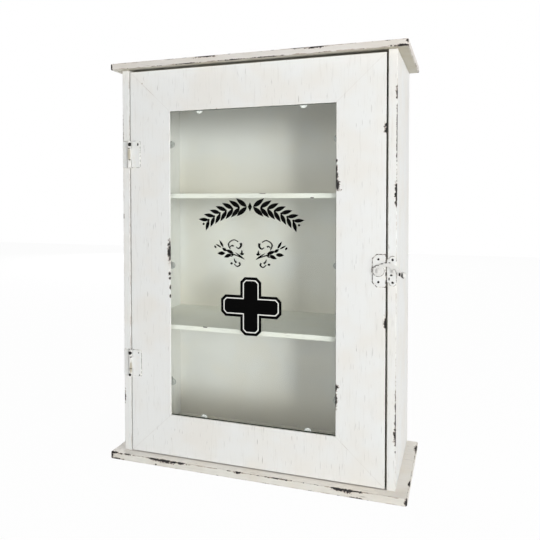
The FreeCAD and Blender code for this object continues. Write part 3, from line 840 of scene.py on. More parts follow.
def glass_clip(name, material):
    low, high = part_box(name)
    upright = high.z - low.z > high.x - low.x
    across, along = (0, 2) if upright else (2, 0)
    middle = (low + high) / 2
    radius = (high[across] - low[across]) / 2
    toward = (door_low + door_high) / 2 - middle
    inward = math.copysign(1, toward[along])
    tab_end = middle[along] + inward * ((high[along] - low[along]) / 2 - radius)
    strip_end = 2 * middle[along] - tab_end
    step_outer = tab_end - inward * CLIP_STEP
    step_inner = step_outer + inward * CLIP_THICK

    def outline(from_end, round_end):
        """From a straight end to a round one, along the clip."""
        way = math.copysign(1, round_end - from_end)
        bend = [(round_end + way * reach, off) for reach, off in arc(0, 0, radius, -90, 90)]
        run = [(from_end, radius), (from_end, -radius), *bend]
        if upright:
            return [(middle.x - off, reach) for reach, off in run]
        return [(reach, middle.z + off) for reach, off in run]

    tab = soften(slab(outline(step_outer, tab_end), low.y, low.y + CLIP_THICK), CLIP_EDGE)
    strip = soften(slab(outline(step_inner, strip_end), high.y - CLIP_THICK, high.y), CLIP_EDGE)
    riser_low, riser_high = low.copy(), high.copy()
    riser_low[along], riser_high[along] = sorted((step_inner, step_outer))
    riser = soften(cuboid(riser_low, riser_high), CLIP_EDGE)
    return piece(name, joined(tab, strip, riser), material, "door", "clear_plastic", name)


white_plastic = clip_plastic("white_plastic", WHITE_PLASTIC)
grey_plastic = clip_plastic("grey_plastic", GREY_PLASTIC)
for name in sorted(frame["nodes"]):
    if name.endswith("_clip"):
        glass_clip(name, white_plastic if name.startswith(("top", "bottom")) else grey_plastic)

# %% [markdown]
# The small metalwork is painted over with the frame. Its coat is the same white, a little thicker and
# smoother. Chips show the dark metal, and where a knuckle turns the paint is rubbed down to a dull beige.
# The boards' paint could serve here too, but its streaks are too coarse for pieces this small.

# %% Painted metal
RUBBED_BRASS = rgb(172, 166, 150)
HANDLED_WHITE = rgb(213, 212, 208)
DARK_METAL = rgb(22, 18, 17)
COAT_RAG_SIZE, COAT_CLOUD_SIZE, COAT_WEAR_SIZE = 1.6, 4.0, 2.2
PROUD_START, PROUD_END = 2.0, 4.5
COAT_RELIEF, COAT_SHINE = 0.15 * MM, 0.25
HINGE_CHIPS = (
    ((-155.9, -77.5, 398.8), (2.1, 3, 2.5)),
    ((-146.1, -74.2, 398.9), (1.2, 1, 1.8)),
    ((-156.6, -78, 394.2), (1.7, 3, 0.5)),
    ((-156.0, -78, 379.6), (1.5, 3, 0.6)),
    ((-156.6, -78, 115.1), (1.7, 3, 0.5)),
    ((-157.4, -78, 135.1), (2.4, 3, 2.2)),
    ((-156.4, -78, 130.1), (1.1, 2, 0.8)),
    ((-157.6, -78, 107.3), (2.0, 3, 1.7)),
    ((-147.2, -74.2, 135.3), (0.8, 1, 0.8)),
    ((-146.0, -74.2, 106.9), (0.9, 1, 0.9)),
)
HINGE_RUBS = (
    ((-156.5, -78.0, 386.5), (1.9, 2, 7.5)),
    ((-156.0, -78.0, 116.5), (1.7, 2, 7.0)),
)


def metal_coat(name, chips, rubs=()):
    """White paint on metal, greyer where it stands proud and is handled."""
    recipe = Recipe(name)
    place = recipe.place()
    rough_place = ragged(recipe, place, COAT_RAG_SIZE, RAG_REACH)
    cloud = recipe.noise(place, COAT_CLOUD_SIZE, detail=3.0)
    colour = recipe.mix(cloud.ramp(0.4, 0.75) * 0.6, PAINT_WHITE, PAINT_CREAM)
    proud = recipe.parts(place)[1].ramp(front_plane - PROUD_START, front_plane - PROUD_END)
    colour = recipe.mix(proud, colour, HANDLED_WHITE)
    worn = recipe.noise(place, COAT_WEAR_SIZE, detail=4.0, roughness=0.7).ramp(0.68, 0.76) * 0.6
    if rubs:
        worn = worn.most(chip_field(recipe, rough_place, rubs).ramp(1.25, 0.75))
    colour = recipe.mix(worn, colour, RUBBED_BRASS)
    bare = chip_field(recipe, rough_place, chips).ramp(1.1, 0.9)
    colour = recipe.mix(bare, colour, DARK_METAL)
    normal = recipe.bump(cloud * 0.6 - worn * 0.3 - bare, COAT_RELIEF, 0.35)
    roughness = 0.5 + cloud * 0.1 + bare * 0.2
    return recipe.finish(base_color=colour, roughness=roughness, normal=normal, specular_ior_level=COAT_SHINE)


hinge_paint = metal_coat("hinge_paint", HINGE_CHIPS, HINGE_RUBS)
METAL = {"size": 1.5, "spread": (0.35, 0.7), "roughens": 0.15, "relief": (0.1 * MM, 0.2), "detail": 4.0,
         "grit": 0.7, "metallic": 0.85}
steel = mottled("screw_steel", colours=(rgb(150, 148, 142), rgb(96, 92, 86)), roughness=0.35, **METAL)
dark_recess = mottled("dark_recess", colours=(rgb(18, 16, 15), rgb(9, 8, 8)), roughness=0.6, **METAL)
print("metal finishes:", hinge_paint.name, steel.name, dark_recess.name)

# %% [markdown]
# A broken dark line runs round each plate: dirt where plate meets wood, and painted shade for the shadow
# at the plate's rim. It could be painted into the wood's shader, but a plate's outline is easier to give
# than to measure. So the line is a very thin sheet under the plate: its outline, pushed outwards, in a dark
# finish of dirt and painted shade.

# %% Dirt and painted shade round the plates
# Sizes of the dark lines of dirt and painted shade round the plates and under the hook's head.
DIRT_SHADE_WIDE, LATCH_DIRT_SHADE_WIDE, RING_DIRT_SHADE_WIDE = 0.5 * MM, 0.9 * MM, 0.7 * MM
DIRT_SHADE_THICK = 0.06 * MM
DIRT_SHADE_BREAKS = 3.2
# The dark finish of those lines is dirt and painted shade: the plate's shadow on the wood, painted in.
dirt_and_shade = mottled("dirt_and_shade", DIRT_SHADE_BREAKS, (rgb(70, 62, 56), PAINT_CREAM), (0.42, 0.60), 0.7, grit=0.6)


def grown(outline, by):
    """An outline of (x, z) points, pushed outwards."""
    points = [Vector(point) for point in outline]
    count = len(points)
    area = sum(points[i].x * points[i - 1].y - points[i - 1].x * points[i].y for i in range(count))
    out = math.copysign(by, area)
    pushed = []
    for index, point in enumerate(points):
        before = (point - points[index - 1]).normalized()
        after = (points[(index + 1) % count] - point).normalized()
        normals = [Vector((-way.y, way.x)) for way in (before, after)]
        pushed.append(point + (normals[0] + normals[1]) / (1 + normals[0].dot(normals[1])) * out)
    return pushed


def dirt_shade_line(name, outline, body, under=None, wide=DIRT_SHADE_WIDE):
    """A dark line of dirt and painted shade round a plate, on the wood or on what lies under the plate."""
    back = door_low.y if under is None else under
    line = slab(grown(outline, wide), back - DIRT_SHADE_THICK, back)
    return piece(name + "_crack", line, dirt_and_shade, body, "painted_metal")


# Prints the widths of the lines of dirt and painted shade.
print("dirt lines in mm:", [round(wide / MM, 2) for wide in (DIRT_SHADE_WIDE, LATCH_DIRT_SHADE_WIDE, RING_DIRT_SHADE_WIDE)])

# %% [markdown]
# A butt hinge is two flat leaves whose edges roll round a pin. A leaf could be one bent sheet. Here it is a
# plate that stops short of the other leaf's knuckle, joined to its own knuckles by tabs, so that the two
# leaves never touch when the door turns. The pin, with its domed heads, is a turned profile.

# %% Hinges
hinge_axis = Vector(next(j["pos_m"] for j in frame["joints"] if j["name"] == "door_hinge"))
KNUCKLE_RADIUS, KNUCKLE_GAP = 2.6 * MM, 0.3 * MM
KNUCKLE_SHARES = (0.28, 0.46, 0.26)
leaf_front = door_low.y - 1.2 * MM
LEAF_CORNER, LEAF_EDGE = 1.5 * MM, 0.35 * MM
PIN_RADIUS, PIN_HEAD_RADIUS, PIN_HEAD_HEIGHT = 1.2 * MM, 1.9 * MM, 0.8 * MM
PIN_END = (
    (0, 0), (PIN_HEAD_RADIUS * 0.55, 0.15 * MM), (PIN_HEAD_RADIUS, PIN_HEAD_HEIGHT - 0.2 * MM),
    (PIN_HEAD_RADIUS, PIN_HEAD_HEIGHT), (PIN_RADIUS, PIN_HEAD_HEIGHT),
)
MERGE_DISTANCE = 0.001 * MM


def lathe(profile, steps=24):
    """A solid turned about the Z axis from (radius, height) points that start and end on the axis."""
    shape = bmesh.new()
    verts = [shape.verts.new((radius, 0, height)) for radius, height in profile]
    edges = [shape.edges.new(pair) for pair in zip(verts, verts[1:])]
    bmesh.ops.spin(
        shape, geom=verts + edges, cent=(0, 0, 0), axis=(0, 0, 1), angle=2 * math.pi, steps=steps,
        use_merge=True, use_duplicate=False,
    )
    bmesh.ops.remove_doubles(shape, verts=shape.verts, dist=MERGE_DISTANCE)
    bmesh.ops.recalc_face_normals(shape, faces=shape.faces)
    return shape


def moved(shape, matrix):
    bmesh.ops.transform(shape, matrix=matrix, verts=shape.verts)
    return shape


def knuckle(low, high):
    """One rolled knuckle of a hinge, with softened rims."""
    shape = bmesh.new()
    bmesh.ops.create_cone(
        shape, cap_ends=True, segments=32, radius1=KNUCKLE_RADIUS, radius2=KNUCKLE_RADIUS, depth=high - low,
    )
    soften(shape, LEAF_EDGE, 2, 60)
    return moved(shape, Matrix.Translation(Vector((hinge_axis.x, hinge_axis.y, (low + high) / 2))))


def knuckle_spans(low, high):
    """Low and high of the bottom, middle and top knuckle."""
    first = low + KNUCKLE_SHARES[0] * (high - low)
    second = first + KNUCKLE_SHARES[1] * (high - low)
    half = KNUCKLE_GAP / 2
    return [(low, first - half), (first + half, second - half), (second + half, high)]


def hinge_leaf(name, on_door):
    """A leaf with its knuckles: the middle one on the door, the two outer ones on the frame."""
    low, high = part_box(name)
    low_z, high_z = (corner.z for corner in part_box(name.replace("door", "frame")))
    spans = knuckle_spans(low_z, high_z)
    own = spans[1:2] if on_door else spans[::2]
    outward = 1 if on_door else -1
    near = hinge_axis.x + outward * (KNUCKLE_RADIUS + KNUCKLE_GAP)
    corner_x = (high.x if on_door else low.x) - outward * LEAF_CORNER
    side_angle, last_angle = (0, -90) if on_door else (180, 270)
    outline = arc(corner_x, high_z - LEAF_CORNER, LEAF_CORNER, 90, side_angle, 6)
    outline += arc(corner_x, low_z + LEAF_CORNER, LEAF_CORNER, side_angle, last_angle, 6)
    outline += [(near, low_z), (near, high_z)]
    shapes = [soften(slab(outline, leaf_front, door_low.y), LEAF_EDGE, 2)]
    for start, end in own:
        tab = [(hinge_axis.x, start), (near, start), (near, end), (hinge_axis.x, end)]
        shapes += [slab(tab, leaf_front, door_low.y), knuckle(start, end)]
    body = "door" if on_door else "cabinet"
    dirt_shade_line(name, outline, body)
    return piece(name, joined(*shapes), hinge_paint, body, "painted_metal", name)


def hinge_pin(name):
    low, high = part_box(name)
    profile = [(radius, low.z + rise) for radius, rise in PIN_END]
    profile += [(radius, high.z - rise) for radius, rise in reversed(PIN_END)]
    shape = moved(lathe(profile), Matrix.Translation(Vector((hinge_axis.x, hinge_axis.y, 0))))
    return piece(name, shape, hinge_paint, "cabinet", "steel", name)


for level in ("upper", "lower"):
    hinge_leaf(f"{level}_hinge_frame_leaf", False)
    hinge_leaf(f"{level}_hinge_door_leaf", True)
    hinge_pin(f"{level}_hinge_pin")

# %% [markdown]
# The screws are countersunk, with heads that stand a hair proud. Under paint only a round edge and the cross
# recess show. Their places could be typed in again, but the frame knows them: the separate solids of one
# node are found by walking its mesh from vertex to vertex.

# %% Screws
TO_FRONT = Matrix.Rotation(math.pi / 2, 4, "X")
SCREW_PROUD, LATCH_SCREW_PROUD = 0.25 * MM, 0.12 * MM
DOME_SHARES = ((0, 1), (0.55, 0.85), (0.9, 0.35), (1, 0))
RECESS_ARM, RECESS_HALF = 0.62, 0.14
RECESS_TOP, RECESS_FLOOR = 1.02, 0.5


def solids(node):
    """The lowest and highest corner of each separate solid in a node, always in the same order."""
    shape = bmesh.new()
    shape.from_mesh(frame["nodes"][node].data)
    bmesh.ops.remove_doubles(shape, verts=shape.verts, dist=MERGE_DISTANCE)
    waiting = set(shape.verts)
    boxes = []
    while waiting:
        reached = [waiting.pop()]
        for vert in reached:
            linked = {edge.other_vert(vert) for edge in vert.link_edges} & waiting
            waiting -= linked
            reached.extend(linked)
        axes = list(zip(*(vert.co for vert in reached)))
        boxes.append((Vector([min(axis) for axis in axes]), Vector([max(axis) for axis in axes])))
    shape.free()
    return sorted(boxes, key=lambda box: tuple(box[0]))


def knob(profile, place, steps=24):
    """A turned shape that stands out towards the front from a point."""
    return moved(lathe(profile, steps), Matrix.Translation(Vector(place)) @ TO_FRONT)


def screw_head(radius, proud):
    """A low dome with a cross recess, facing the front. The recess is in material slot 1."""
    profile = [(radius * share, proud * rise) for share, rise in DOME_SHARES] + [(0, -radius)]
    shapes = [knob(profile, (0, 0, 0))]
    arm, half = radius * RECESS_ARM, radius * RECESS_HALF
    for wide, tall in ((arm, half), (half, arm)):
        corners = [(-wide, -tall), (wide, -tall), (wide, tall), (-wide, tall)]
        bar = slab(corners, -proud * RECESS_TOP, -proud * RECESS_FLOOR)
        for face in bar.faces:
            face.material_index = 1
        shapes.append(bar)
    return joined(*shapes)


def screws(name, material, body, proud=SCREW_PROUD):
    """All the screws of one node, in one piece."""
    heads = []
    for low, high in solids(name):
        place = Vector(((low.x + high.x) / 2, low.y + proud, (low.z + high.z) / 2))
        heads.append(moved(screw_head((high.x - low.x) / 2, proud), Matrix.Translation(place)))
    made = piece(name, joined(*heads), material, body, "steel", name)
    made.data.materials.append(material)
    return made


screws("hinge_door_screws", hinge_paint, "door")
screws("hinge_frame_screws", hinge_paint, "cabinet")

# %% [markdown]
# The latch has a plate with a round lobe on the door, and a smaller plate with a pin on the side. Both could
# be cut from bars with booleans. An outline of straight runs and arcs, pulled to its thickness, gives the
# same plate with clean faces. Their paint is chipped round the screws and where the hook rubs, and dark
# marks on the hook's foot and upper edge are painted shade.

# %% Latch plates
pivot = Vector(next(j["pos_m"] for j in frame["joints"] if j["name"] == "hook_swing"))
hook_low, hook_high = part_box("hook")
PLATE_CHAMFER, PLATE_EDGE, PLATE_FLAT = 4.5 * MM, 0.4 * MM, 13.5 * MM
SCREW_CHIP = 1.35
PLATE_CHIPS = (
    ((160.2, -74.2, 260.2), (1.4, 1, 0.9)),
    ((162.4, -74.2, 247.1), (1.5, 1, 1.0)),
    ((160.2, -74.2, 242.9), (0.8, 1, 1.6)),
)
# Dark marks on the hook, as painted shade: in the gaps by its foot and ball, and along its upper edge.
HOOK_PAINTED_SHADE = (
    ((22.6, -3.3), (1.0, 3.0)), ((25.6, -3.6), (1.0, 2.4)), ((26.6, -6.2), (1.2, 0.9)),
    ((-3.6, 4.4), (1.6, 0.7)), ((-0.6, 6.1), (2.2, 0.5)), ((3.6, 8.0), (2.4, 0.5)), ((7.6, 9.2), (2.2, 0.5)),
)


def latch_finish():
    """The metal's coat, with its chips, and dark marks on the hook's foot and upper edge as painted shade."""
    chips = list(PLATE_CHIPS)
    for low, high in solids("latch_screws") + solids("catch_screws"):
        middle = (low + high) / 2 / MM
        chips.append(((middle.x, low.y / MM, middle.z), (SCREW_CHIP, 2, SCREW_CHIP)))
    # the hook's marks of painted shade, placed from the pivot
    for (x, z), (wide, tall) in HOOK_PAINTED_SHADE:
        chips.append(((pivot.x / MM + x, hook_low.y / MM, pivot.z / MM + z), (wide, 8, tall)))
    return metal_coat("latch_paint", chips)


latch_paint = latch_finish()


def latch_plate():
    low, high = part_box("latch_plate")
    flat_left = high.x - PLATE_FLAT
    cut_left = flat_left + PLATE_CHAMFER
    lobe = pivot.x - low.x
    bend = math.degrees(math.acos((pivot.x - flat_left) / lobe))
    outline = [(high.x, low.z), (high.x, high.z), (cut_left, high.z), (flat_left, high.z - PLATE_CHAMFER)]
    outline += arc(pivot.x, pivot.z, lobe, 180 - bend, 180 + bend)
    outline += [(flat_left, low.z + PLATE_CHAMFER), (cut_left, low.z)]
    dirt_shade_line("latch_plate", outline, "door", wide=LATCH_DIRT_SHADE_WIDE)
    shape = soften(slab(outline, low.y, high.y), PLATE_EDGE, 2, 20)
    return piece("latch_plate", shape, latch_paint, "door", "painted_metal", "latch_plate")


def catch_plate():
    low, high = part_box("catch_plate")
    screw_x = sum(corner.x for corner in solids("catch_screws")[0]) / 2
    lobe = high.x - screw_x
    top_z, bottom_z = high.z - lobe, low.z + lobe
    outline = arc(screw_x, top_z, lobe, 0, 180) + [(low.x, top_z), (low.x, bottom_z)]
    outline += arc(screw_x, bottom_z, lobe, 180, 360)
    dirt_shade_line("catch_plate", outline, "cabinet")
    shape = soften(slab(outline, low.y, high.y), PLATE_EDGE, 2)
    return piece("catch_plate", shape, latch_paint, "cabinet", "painted_metal", "catch_plate")


def catch_pin():
    low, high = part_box("catch_pin")
    radius = (high.x - low.x) / 2
    length = door_low.y - low.y
    profile = (
        (0, length), (radius * 0.7, length - 0.15 * MM), (radius, length - 0.6 * MM), (radius, 0), (0, 0),
    )
    shape = knob(profile, ((low.x + high.x) / 2, door_low.y, (low.z + high.z) / 2))
    return piece("catch_pin", shape, latch_paint, "cabinet", "painted_metal", "catch_pin")


latch_plate()
catch_plate()
catch_pin()

# %% [markdown]
# The hook swings on a rivet and drops its notch over the pin. Its arm could be a curve with a bevel, which
# is round all along. The real arm is flat and swells towards its end, so it is drawn as one smooth line over
# and one under, through a few points measured from the pivot, and pulled to its thickness.

# %% Hook and rivet
HOOK_BACK = door_low.y - 1.5 * MM
HOOK_FRONT = HOOK_BACK - 2.2 * MM
HOOK_HEAD, HOOK_EDGE = 6.0 * MM, 0.55 * MM
BALL_RADIUS, BALL_DROP = 3.3 * MM, 3.5 * MM
HOOK_OVER = (
    (-3.2, 4.9), (1.2, 7.0), (5.4, 8.6), (9.4, 9.3), (13.8, 8.5), (18.2, 6.7), (22.0, 3.8), (25.2, -0.4),
)
HOOK_FOOT = ((24.9, -3.8), (22.6, -4.8), (20.6, -3.6))
HOOK_UNDER = (
    (19.5, -1.0), (18.6, 1.3), (16.3, 2.3), (14.0, 1.3), (12.4, 3.2), (9.4, 4.9), (6.4, 4.2), (3.6, 1.0),
)
HEAD_SHARES = ((0, 0.86), (0.62, 0.9), (0.8, 1), (0.93, 0.92), (1, 0.6), (1, 0), (0, 0))
RIVET_SHARES = ((0, 1), (0.6, 0.85), (1, 0.3), (1, 0), (0, 0))


def smooth_run(points, steps=6):
    """Points along a smooth line through the given ones."""
    ends = [points[0], *points, points[-1]]
    run = []
    for corners in zip(ends, ends[1:], ends[2:], ends[3:]):
        for step in range(steps):
            t = step / steps
            point = []
            for a, b, c, d in zip(*corners):
                bend = (2 * a - 5 * b + 4 * c - d) * t ** 2 + (3 * b - a - 3 * c + d) * t ** 3
                point.append(0.5 * (2 * b + (c - a) * t + bend))
            run.append(tuple(point))
    return run + [points[-1]]


def hook():
    run = smooth_run(HOOK_OVER) + smooth_run(HOOK_FOOT) + smooth_run(HOOK_UNDER)
    outline = [(pivot.x + x * MM, pivot.z + z * MM) for x, z in run]
    arm = soften(slab(outline, HOOK_FRONT, HOOK_BACK), HOOK_EDGE, 3, 40)
    thick = HOOK_BACK - HOOK_FRONT
    profile = [(HOOK_HEAD * share, thick * rise) for share, rise in HEAD_SHARES]
    head = knob(profile, (pivot.x, HOOK_BACK, pivot.z), 36)
    ring = arc(pivot.x, pivot.z, HOOK_HEAD, 0, 350, 35)
    # A ring of dirt and painted shade on the plate, round the hook's head.
    dirt_shade_line("hook", ring, "door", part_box("latch_plate")[0].y, RING_DIRT_SHADE_WIDE)
    ball = bmesh.new()
    bmesh.ops.create_uvsphere(ball, u_segments=28, v_segments=18, radius=BALL_RADIUS)
    place = Vector((hook_high.x - BALL_RADIUS, hook_low.y + BALL_RADIUS, pivot.z - BALL_DROP))
    moved(ball, Matrix.Translation(place))
    return piece("hook", joined(arm, head, ball), latch_paint, "latch_hook", "painted_metal", "hook")


def pivot_rivet():
    low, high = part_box("pivot_rivet")
    radius, reach = (high.x - low.x) / 2, HOOK_FRONT - low.y
    profile = [(radius * share, reach * rise) for share, rise in RIVET_SHARES]
    shape = knob(profile, (pivot.x, HOOK_FRONT, pivot.z))
    return piece("pivot_rivet", shape, latch_paint, "door", "steel", "pivot_rivet")


hook()
pivot_rivet()
screws("latch_screws", dark_recess, "door", LATCH_SCREW_PROUD)
screws("catch_screws", dark_recess, "cabinet", LATCH_SCREW_PROUD)

# %% [markdown]
# On the glass is a black transfer print: a plain cross with a white border, two leafy sprigs, and over them
# an arched laurel garland. All of it could be one mask in a shader, which blurs at the rims. Here leaves
# and strokes are drawn as outlines from a few points each, which stay crisp from near.

# %% Leaves, strokes and cross
LEAF_FULLNESS = 0.85
CROSS_MIDDLE = (1.1, 202.6)
CROSS_ARMS, CROSS_ARM_HALF = (33.0, 30.3), 8.5
SPRIG_FOOT = (-6.6, 258.6)
SPRIG_MIRROR_X = 0.35
SPRIG_LEAVES = (
    ((0, 0), (12, 8.2), 2.0), ((13.7, 6.8), (23.9, 10.8), 4.2), ((22.6, 9.2), (28.4, 13.2), 3.6),
    ((26.6, 13.6), (31.8, 22.4), 2.9), ((29.0, 13.2), (36.8, 17.6), 1.9), ((38.2, 15.6), (35.7, 12.2), 2.4),
    ((24.4, 6.6), (34.4, 6.2), 4.6), ((16.5, 5.6), (25.8, 1.6), 4.4), ((13.5, 4.8), (18.2, 2.6), 1.6),
    ((3.0, 4.4), (3.4, 11.4), 2.4), ((3.2, 5.0), (5.9, 7.4), 1.7), ((3.0, 5.0), (0.5, 7.3), 1.7),
    ((18.0, -5.2), (14.3, -5.6), 2.9),
)
SPRIG_STROKES = (
    (((0, 0), (6.8, 3.0), (12, 5.0), (16.6, 5.6)), (0.5, 2.0)),
    (((20.5, 17.4), (17.9, 20.8), (12.8, 22.9), (7.7, 20.6)), (1.6, 1.2)),
    (((4.6, 19.4), (4.4, 15.6), (7.4, 12.8), (10.4, 14.6)), (3.2, 0.9)),
    (((20.2, 17.8), (19.4, 14.6), (17.7, 11.6)), (2.2, 1.0)),
    (((18.2, 14.0), (16.0, 16.0), (13.6, 15.4)), (1.0, 2.2)),
    (((13.0, 0.6), (12.2, -2.2), (10.0, -4.4)), (0.8, 2.7)),
    (((13.0, -5.8), (9.2, -8.8), (5.6, -6.6), (6.8, -3.8)), (1.0, 2.3)),
)
ARCH_MIDDLE, ARCH_RADIUS, ARCH_SPREAD = (0.3, 229.0), 92.0, 37.5
LAUREL_PAIRS, LAUREL_START, LAUREL_TAPER = 7, 0.45, 0.035
LAUREL_LEAF, LAUREL_OPEN = (17.0, 5.6), 39.0
BERRY_RADIUS, BERRY_SHARE = 1.4, 0.62
LOZENGE = ((0, -5.5), (2.6, 0), (0, 5.5), (-2.6, 0))


def leaf_outline(base, tip, width, steps=8):
    """A pointed leaf from its base to its tip."""
    base, tip = Vector(base), Vector(tip)
    along = tip - base
    across = Vector((-along.y, along.x)).normalized() * width / 2
    shares = [step / steps for step in range(1, steps)]
    spine = [base + along * share for share in shares]
    spread = [across * math.sin(math.pi * share ** LEAF_FULLNESS) for share in shares]
    left = [point + off for point, off in zip(spine, spread)]
    right = [point - off for point, off in zip(spine, spread)]
    return [base, *left, tip, *reversed(right)]


def stroke_outline(points, widths):
    """A brush stroke along a smooth line, its width running from one end's to the other's."""
    line = [Vector(point) for point in smooth_run(points, 7)]
    last = len(line) - 1
    left, right = [], []
    for index, point in enumerate(line):
        way = line[min(index + 1, last)] - line[max(index - 1, 0)]
        half = (widths[0] + (widths[1] - widths[0]) * index / last) / 2
        off = Vector((-way.y, way.x)).normalized() * half
        left.append(point + off)
        right.append(point - off)
    return left + right[::-1]


def cross_outline(grow, chamfer):
    """The cross, grown all round, with its outer corners cut."""
    wide, tall, half = CROSS_ARMS[0] + grow, CROSS_ARMS[1] + grow, CROSS_ARM_HALF + grow
    quarter = [
        (wide, half - chamfer), (wide - chamfer, half), (half, half), (half, tall - chamfer),
        (half - chamfer, tall),
    ]
    upper = quarter + [(-x, z) for x, z in reversed(quarter)]
    whole = upper + [(-x, -z) for x, z in upper]
    return [(CROSS_MIDDLE[0] + x, CROSS_MIDDLE[1] + z) for x, z in whole]


def sprig_outlines():
    """The sprig on the left, and its mirror image on the right."""
    shapes = [leaf_outline(*leaf) for leaf in SPRIG_LEAVES]
    shapes += [stroke_outline(*stroke) for stroke in SPRIG_STROKES]
    left = [[(SPRIG_FOOT[0] - x, SPRIG_FOOT[1] + z) for x, z in shape] for shape in shapes]
    right = [[(2 * SPRIG_MIRROR_X - x, z) for x, z in outline] for outline in left]
    return left + right


def arch_outlines():
    """A laurel garland along an arc: two branches that meet at a lozenge in the middle."""
    shapes = [(0, LOZENGE)]
    for side_sign in (1, -1):
        for index in range(LAUREL_PAIRS):
            lean = side_sign * ARCH_SPREAD * (index + LAUREL_START) / LAUREL_PAIRS
            length, width = (size * (1 - LAUREL_TAPER * index) for size in LAUREL_LEAF)
            for turn in (LAUREL_OPEN, -LAUREL_OPEN):
                way = math.radians(turn)
                tip = (side_sign * length * math.cos(way), length * math.sin(way))
                shapes.append((lean, leaf_outline((0, 0), tip, width)))
            berry_x = side_sign * length * BERRY_SHARE
            shapes.append((lean, arc(berry_x, 0, BERRY_RADIUS, 0, 330, 11)))
    outlines = []
    for lean, shape in shapes:
        turn = Matrix.Rotation(-math.radians(lean), 2)
        foot = Vector(ARCH_MIDDLE) + turn @ Vector((0, ARCH_RADIUS))
        outlines.append([foot + turn @ Vector(point) for point in shape])
    return outlines


leaves = sprig_outlines() + arch_outlines()
print("ornament:", len(leaves), "leaves, strokes and berries")

# %% [markdown]
# The print is thin film on the front of the pane, pulled from those outlines: black, white over it for the
# border, and black again for the cross. A dark strip along the sill and the edges of the glass, dirt and
# painted shade, is film as well. Flat faces without thickness could lie there, but they would flicker
# against the glass.

# %% Film on the glass
FILM = 0.05 * MM
INK_MOTTLE, INK_SHINE = 1.4, 0.02
CROSS_BORDER, CROSS_LINE = 1.25, 3.3
CROSS_CHAMFER, BORDER_CHAMFER, LINE_CHAMFER = 3.0, 3.7, 5.6
SILL_DIRT_AND_SHADE, EDGE_DIRT_AND_SHADE = 1.3, 0.5


def film(outlines, layer=0):
    """Thin film on the front of the glass. Each layer lies over the last."""
    back = glass_front - FILM * layer
    return joined(*(slab([(x * MM, z * MM) for x, z in outline], back - FILM, back) for outline in outlines))


def print_ink(name, ink, faded):
    recipe = Recipe(name)
    thin = recipe.noise(recipe.place(), INK_MOTTLE, detail=4.0, roughness=0.7).ramp(0.6, 0.8)
    colour = recipe.mix(thin * 0.6, ink, faded)
    return recipe.finish(base_color=colour, roughness=0.55 + thin * 0.2, specular_ior_level=INK_SHINE)


black_ink = print_ink("black_ink", rgb(5, 5, 5), rgb(18, 17, 16))
white_ink = print_ink("white_ink", rgb(232, 232, 227), rgb(212, 211, 204))
pane_dirt_and_shade = print_ink("pane_dirt_and_shade", rgb(52, 58, 50), rgb(112, 114, 102))
ornament = joined(
    film([cross_outline(CROSS_BORDER + CROSS_LINE, LINE_CHAMFER)]),
    film([cross_outline(0, CROSS_CHAMFER)], 2),
    film(leaves),
)
piece("glass_print", ornament, black_ink, "door", "glass")

# Dark strips along the sill, the right edge and the top of the glass: dirt and painted shade from the frame.
sill, lintel = hole_low.z / MM, hole_high.z / MM
DIRT_AND_SHADE_RUNS = (
    (hole_left, sill, hole_right, sill + SILL_DIRT_AND_SHADE),
    (hole_right - EDGE_DIRT_AND_SHADE, sill + SILL_DIRT_AND_SHADE, hole_right, lintel - EDGE_DIRT_AND_SHADE),
    (hole_left, lintel - EDGE_DIRT_AND_SHADE, hole_right, lintel),
)
runs = [[(x0, z0), (x1, z0), (x1, z1), (x0, z1)] for x0, z0, x1, z1 in DIRT_AND_SHADE_RUNS]
piece("pane_dirt_and_shade", film(runs), pane_dirt_and_shade, "door", "glass")
piece("cross_border", film([cross_outline(CROSS_BORDER, BORDER_CHAMFER)], 1), white_ink, "door", "glass")

# %% [markdown]
# What is left keeps its solid shape: the hanging rail, and the dowels, keys and nails that hardly show. They
# could be replaced like the rest, but nobody would see the difference, so they only get their finishes.

# %% Carried over
WOOD_GRAIN, WOOD_COLOURS = (40.0, 2.0, 2.0), (rgb(176, 142, 102), rgb(140, 104, 70))
bare_wood = mottled(
    "bare_wood", WOOD_GRAIN, WOOD_COLOURS, (0.35, 0.68), 0.62, 0.15, (0.2 * MM, 0.3), detail=5.0, grit=0.65,
)
rail_edge = board_edge(*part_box("hanging_rail"))
dress("hanging_rail", worn_paint("hanging_rail_paint", rail_edge, ALONG_X, rub=0.3))
for name in ("clip_screws", "back_panel_nails"):
    dress(name, steel)
for name in ("carcass_dowels", "rail_dowels", "mitre_keys"):
    dress(name, bare_wood)

# %% [markdown]
# A plain studio, with white ground that keeps a faint shadow. A bright sky could make the white, but it
# would wash out the shadows on the object. So ground and sky are white only to the camera, to mirrors and
# through glass, and add almost no light to the cabinet.

# %% Ground and sky
GROUND_SIZE, GROUND_DROP = 6.0, 0.2 * MM
GROUND_GLOW = 0.97
SKY_LIGHT = 0.06


def seen_directly(recipe):
    """1 for rays from the camera, from mirrors and through glass."""
    names = ("Is Camera Ray", "Is Glossy Ray", "Is Transmission Ray")
    rays = [recipe.node("ShaderNodeLightPath", output=name) for name in names]
    return rays[0].most(*rays[1:])


def ground_white():
    recipe = Recipe("ground_white")
    matt = recipe.node("ShaderNodeBsdfDiffuse", {}, {"Color": rgb(240, 240, 240)})
    glow = recipe.node("ShaderNodeEmission", {}, {"Color": WHITE_LIGHT, "Strength": 1.0})
    share = seen_directly(recipe) * GROUND_GLOW
    return recipe.output(recipe.node("ShaderNodeMixShader", {}, {0: share, 1: matt, 2: glow}))


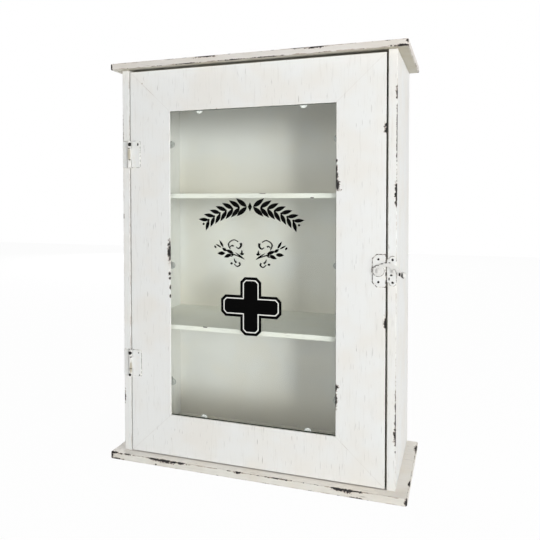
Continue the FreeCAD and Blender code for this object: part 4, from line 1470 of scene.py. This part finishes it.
def studio_sky():
    recipe = Recipe("studio", bpy.data.worlds.new("studio"))
    sky = recipe.node("ShaderNodeBackground", {}, {"Color": WHITE_LIGHT, "Strength": SKY_LIGHT})
    white = recipe.node("ShaderNodeBackground", {}, {"Color": WHITE_LIGHT, "Strength": 1.0})
    surface = recipe.node("ShaderNodeMixShader", {}, {0: seen_directly(recipe), 1: sky, 2: white})
    return recipe.output(surface, "ShaderNodeOutputWorld")


ground_shape = bmesh.new()
bmesh.ops.create_grid(ground_shape, x_segments=1, y_segments=1, size=GROUND_SIZE / 2)
ground_mesh = bpy.data.meshes.new("ground")
ground_shape.to_mesh(ground_mesh)
ground_shape.free()
ground = bpy.data.objects.new("ground", ground_mesh)
ground.location.z = cad_low.z - GROUND_DROP
bpy.context.scene.collection.objects.link(ground)
ground_mesh.materials.append(ground_white())
bpy.context.scene.world = studio_sky()
print("ground", GROUND_SIZE, "m wide, sky", SKY_LIGHT)

# %% [markdown]
# Two broad lamps to the right of the camera light the front, and throw the soft shadow of the right stile
# onto the back panel. One sun could do that, with a hard shadow. A lamp in front fills the shadows, two weak
# ones at the right light the right side, one behind lights the rear, and one overhead the tops of the boards.

# %% Lamps
# Each lamp: name, turn to the right and rise in degrees, distance, width and height in metres, watts
LAMPS = (
    ("key", 31.5, 3.5, 4.0, 0.6, 1.15, 39),
    ("wide_key", 37, 3.5, 4.0, 1.25, 1.15, 30),
    ("fill", 3, 10, 3.0, 1.2, 1.2, 19.5),
    ("side", 58, 6, 2.2, 0.6, 0.6, 10.5),
    ("right", 82, 10, 1.4, 0.8, 0.8, 3.8),
    ("rear", 205, 6, 3.0, 1.0, 1.0, 55),
    ("above", 110, 86.5, 2.5, 0.6, 0.6, 22),
)
aim = (door_low + door_high) / 2


def lamp(name, turn, rise, away, wide, tall, watts):
    """An oval lamp that looks at the middle of the door."""
    data = bpy.data.lights.new(name, "AREA")
    data.shape = "ELLIPSE"
    data.size, data.size_y = wide, tall
    data.energy = watts
    made = bpy.data.objects.new(name, data)
    made.visible_camera = False
    turn, rise = math.radians(turn), math.radians(rise)
    way = Vector((math.cos(rise) * math.sin(turn), -math.cos(rise) * math.cos(turn), math.sin(rise)))
    looking = way.to_track_quat("Z", "Y").to_matrix().to_4x4()
    made.matrix_world = Matrix.Translation(aim + way * away) @ looking
    bpy.context.scene.collection.objects.link(made)
    return made


for row in LAMPS:
    lamp(*row)
bpy.context.scene.view_settings.view_transform = "Standard"
print("lamps:", [row[0] for row in LAMPS])
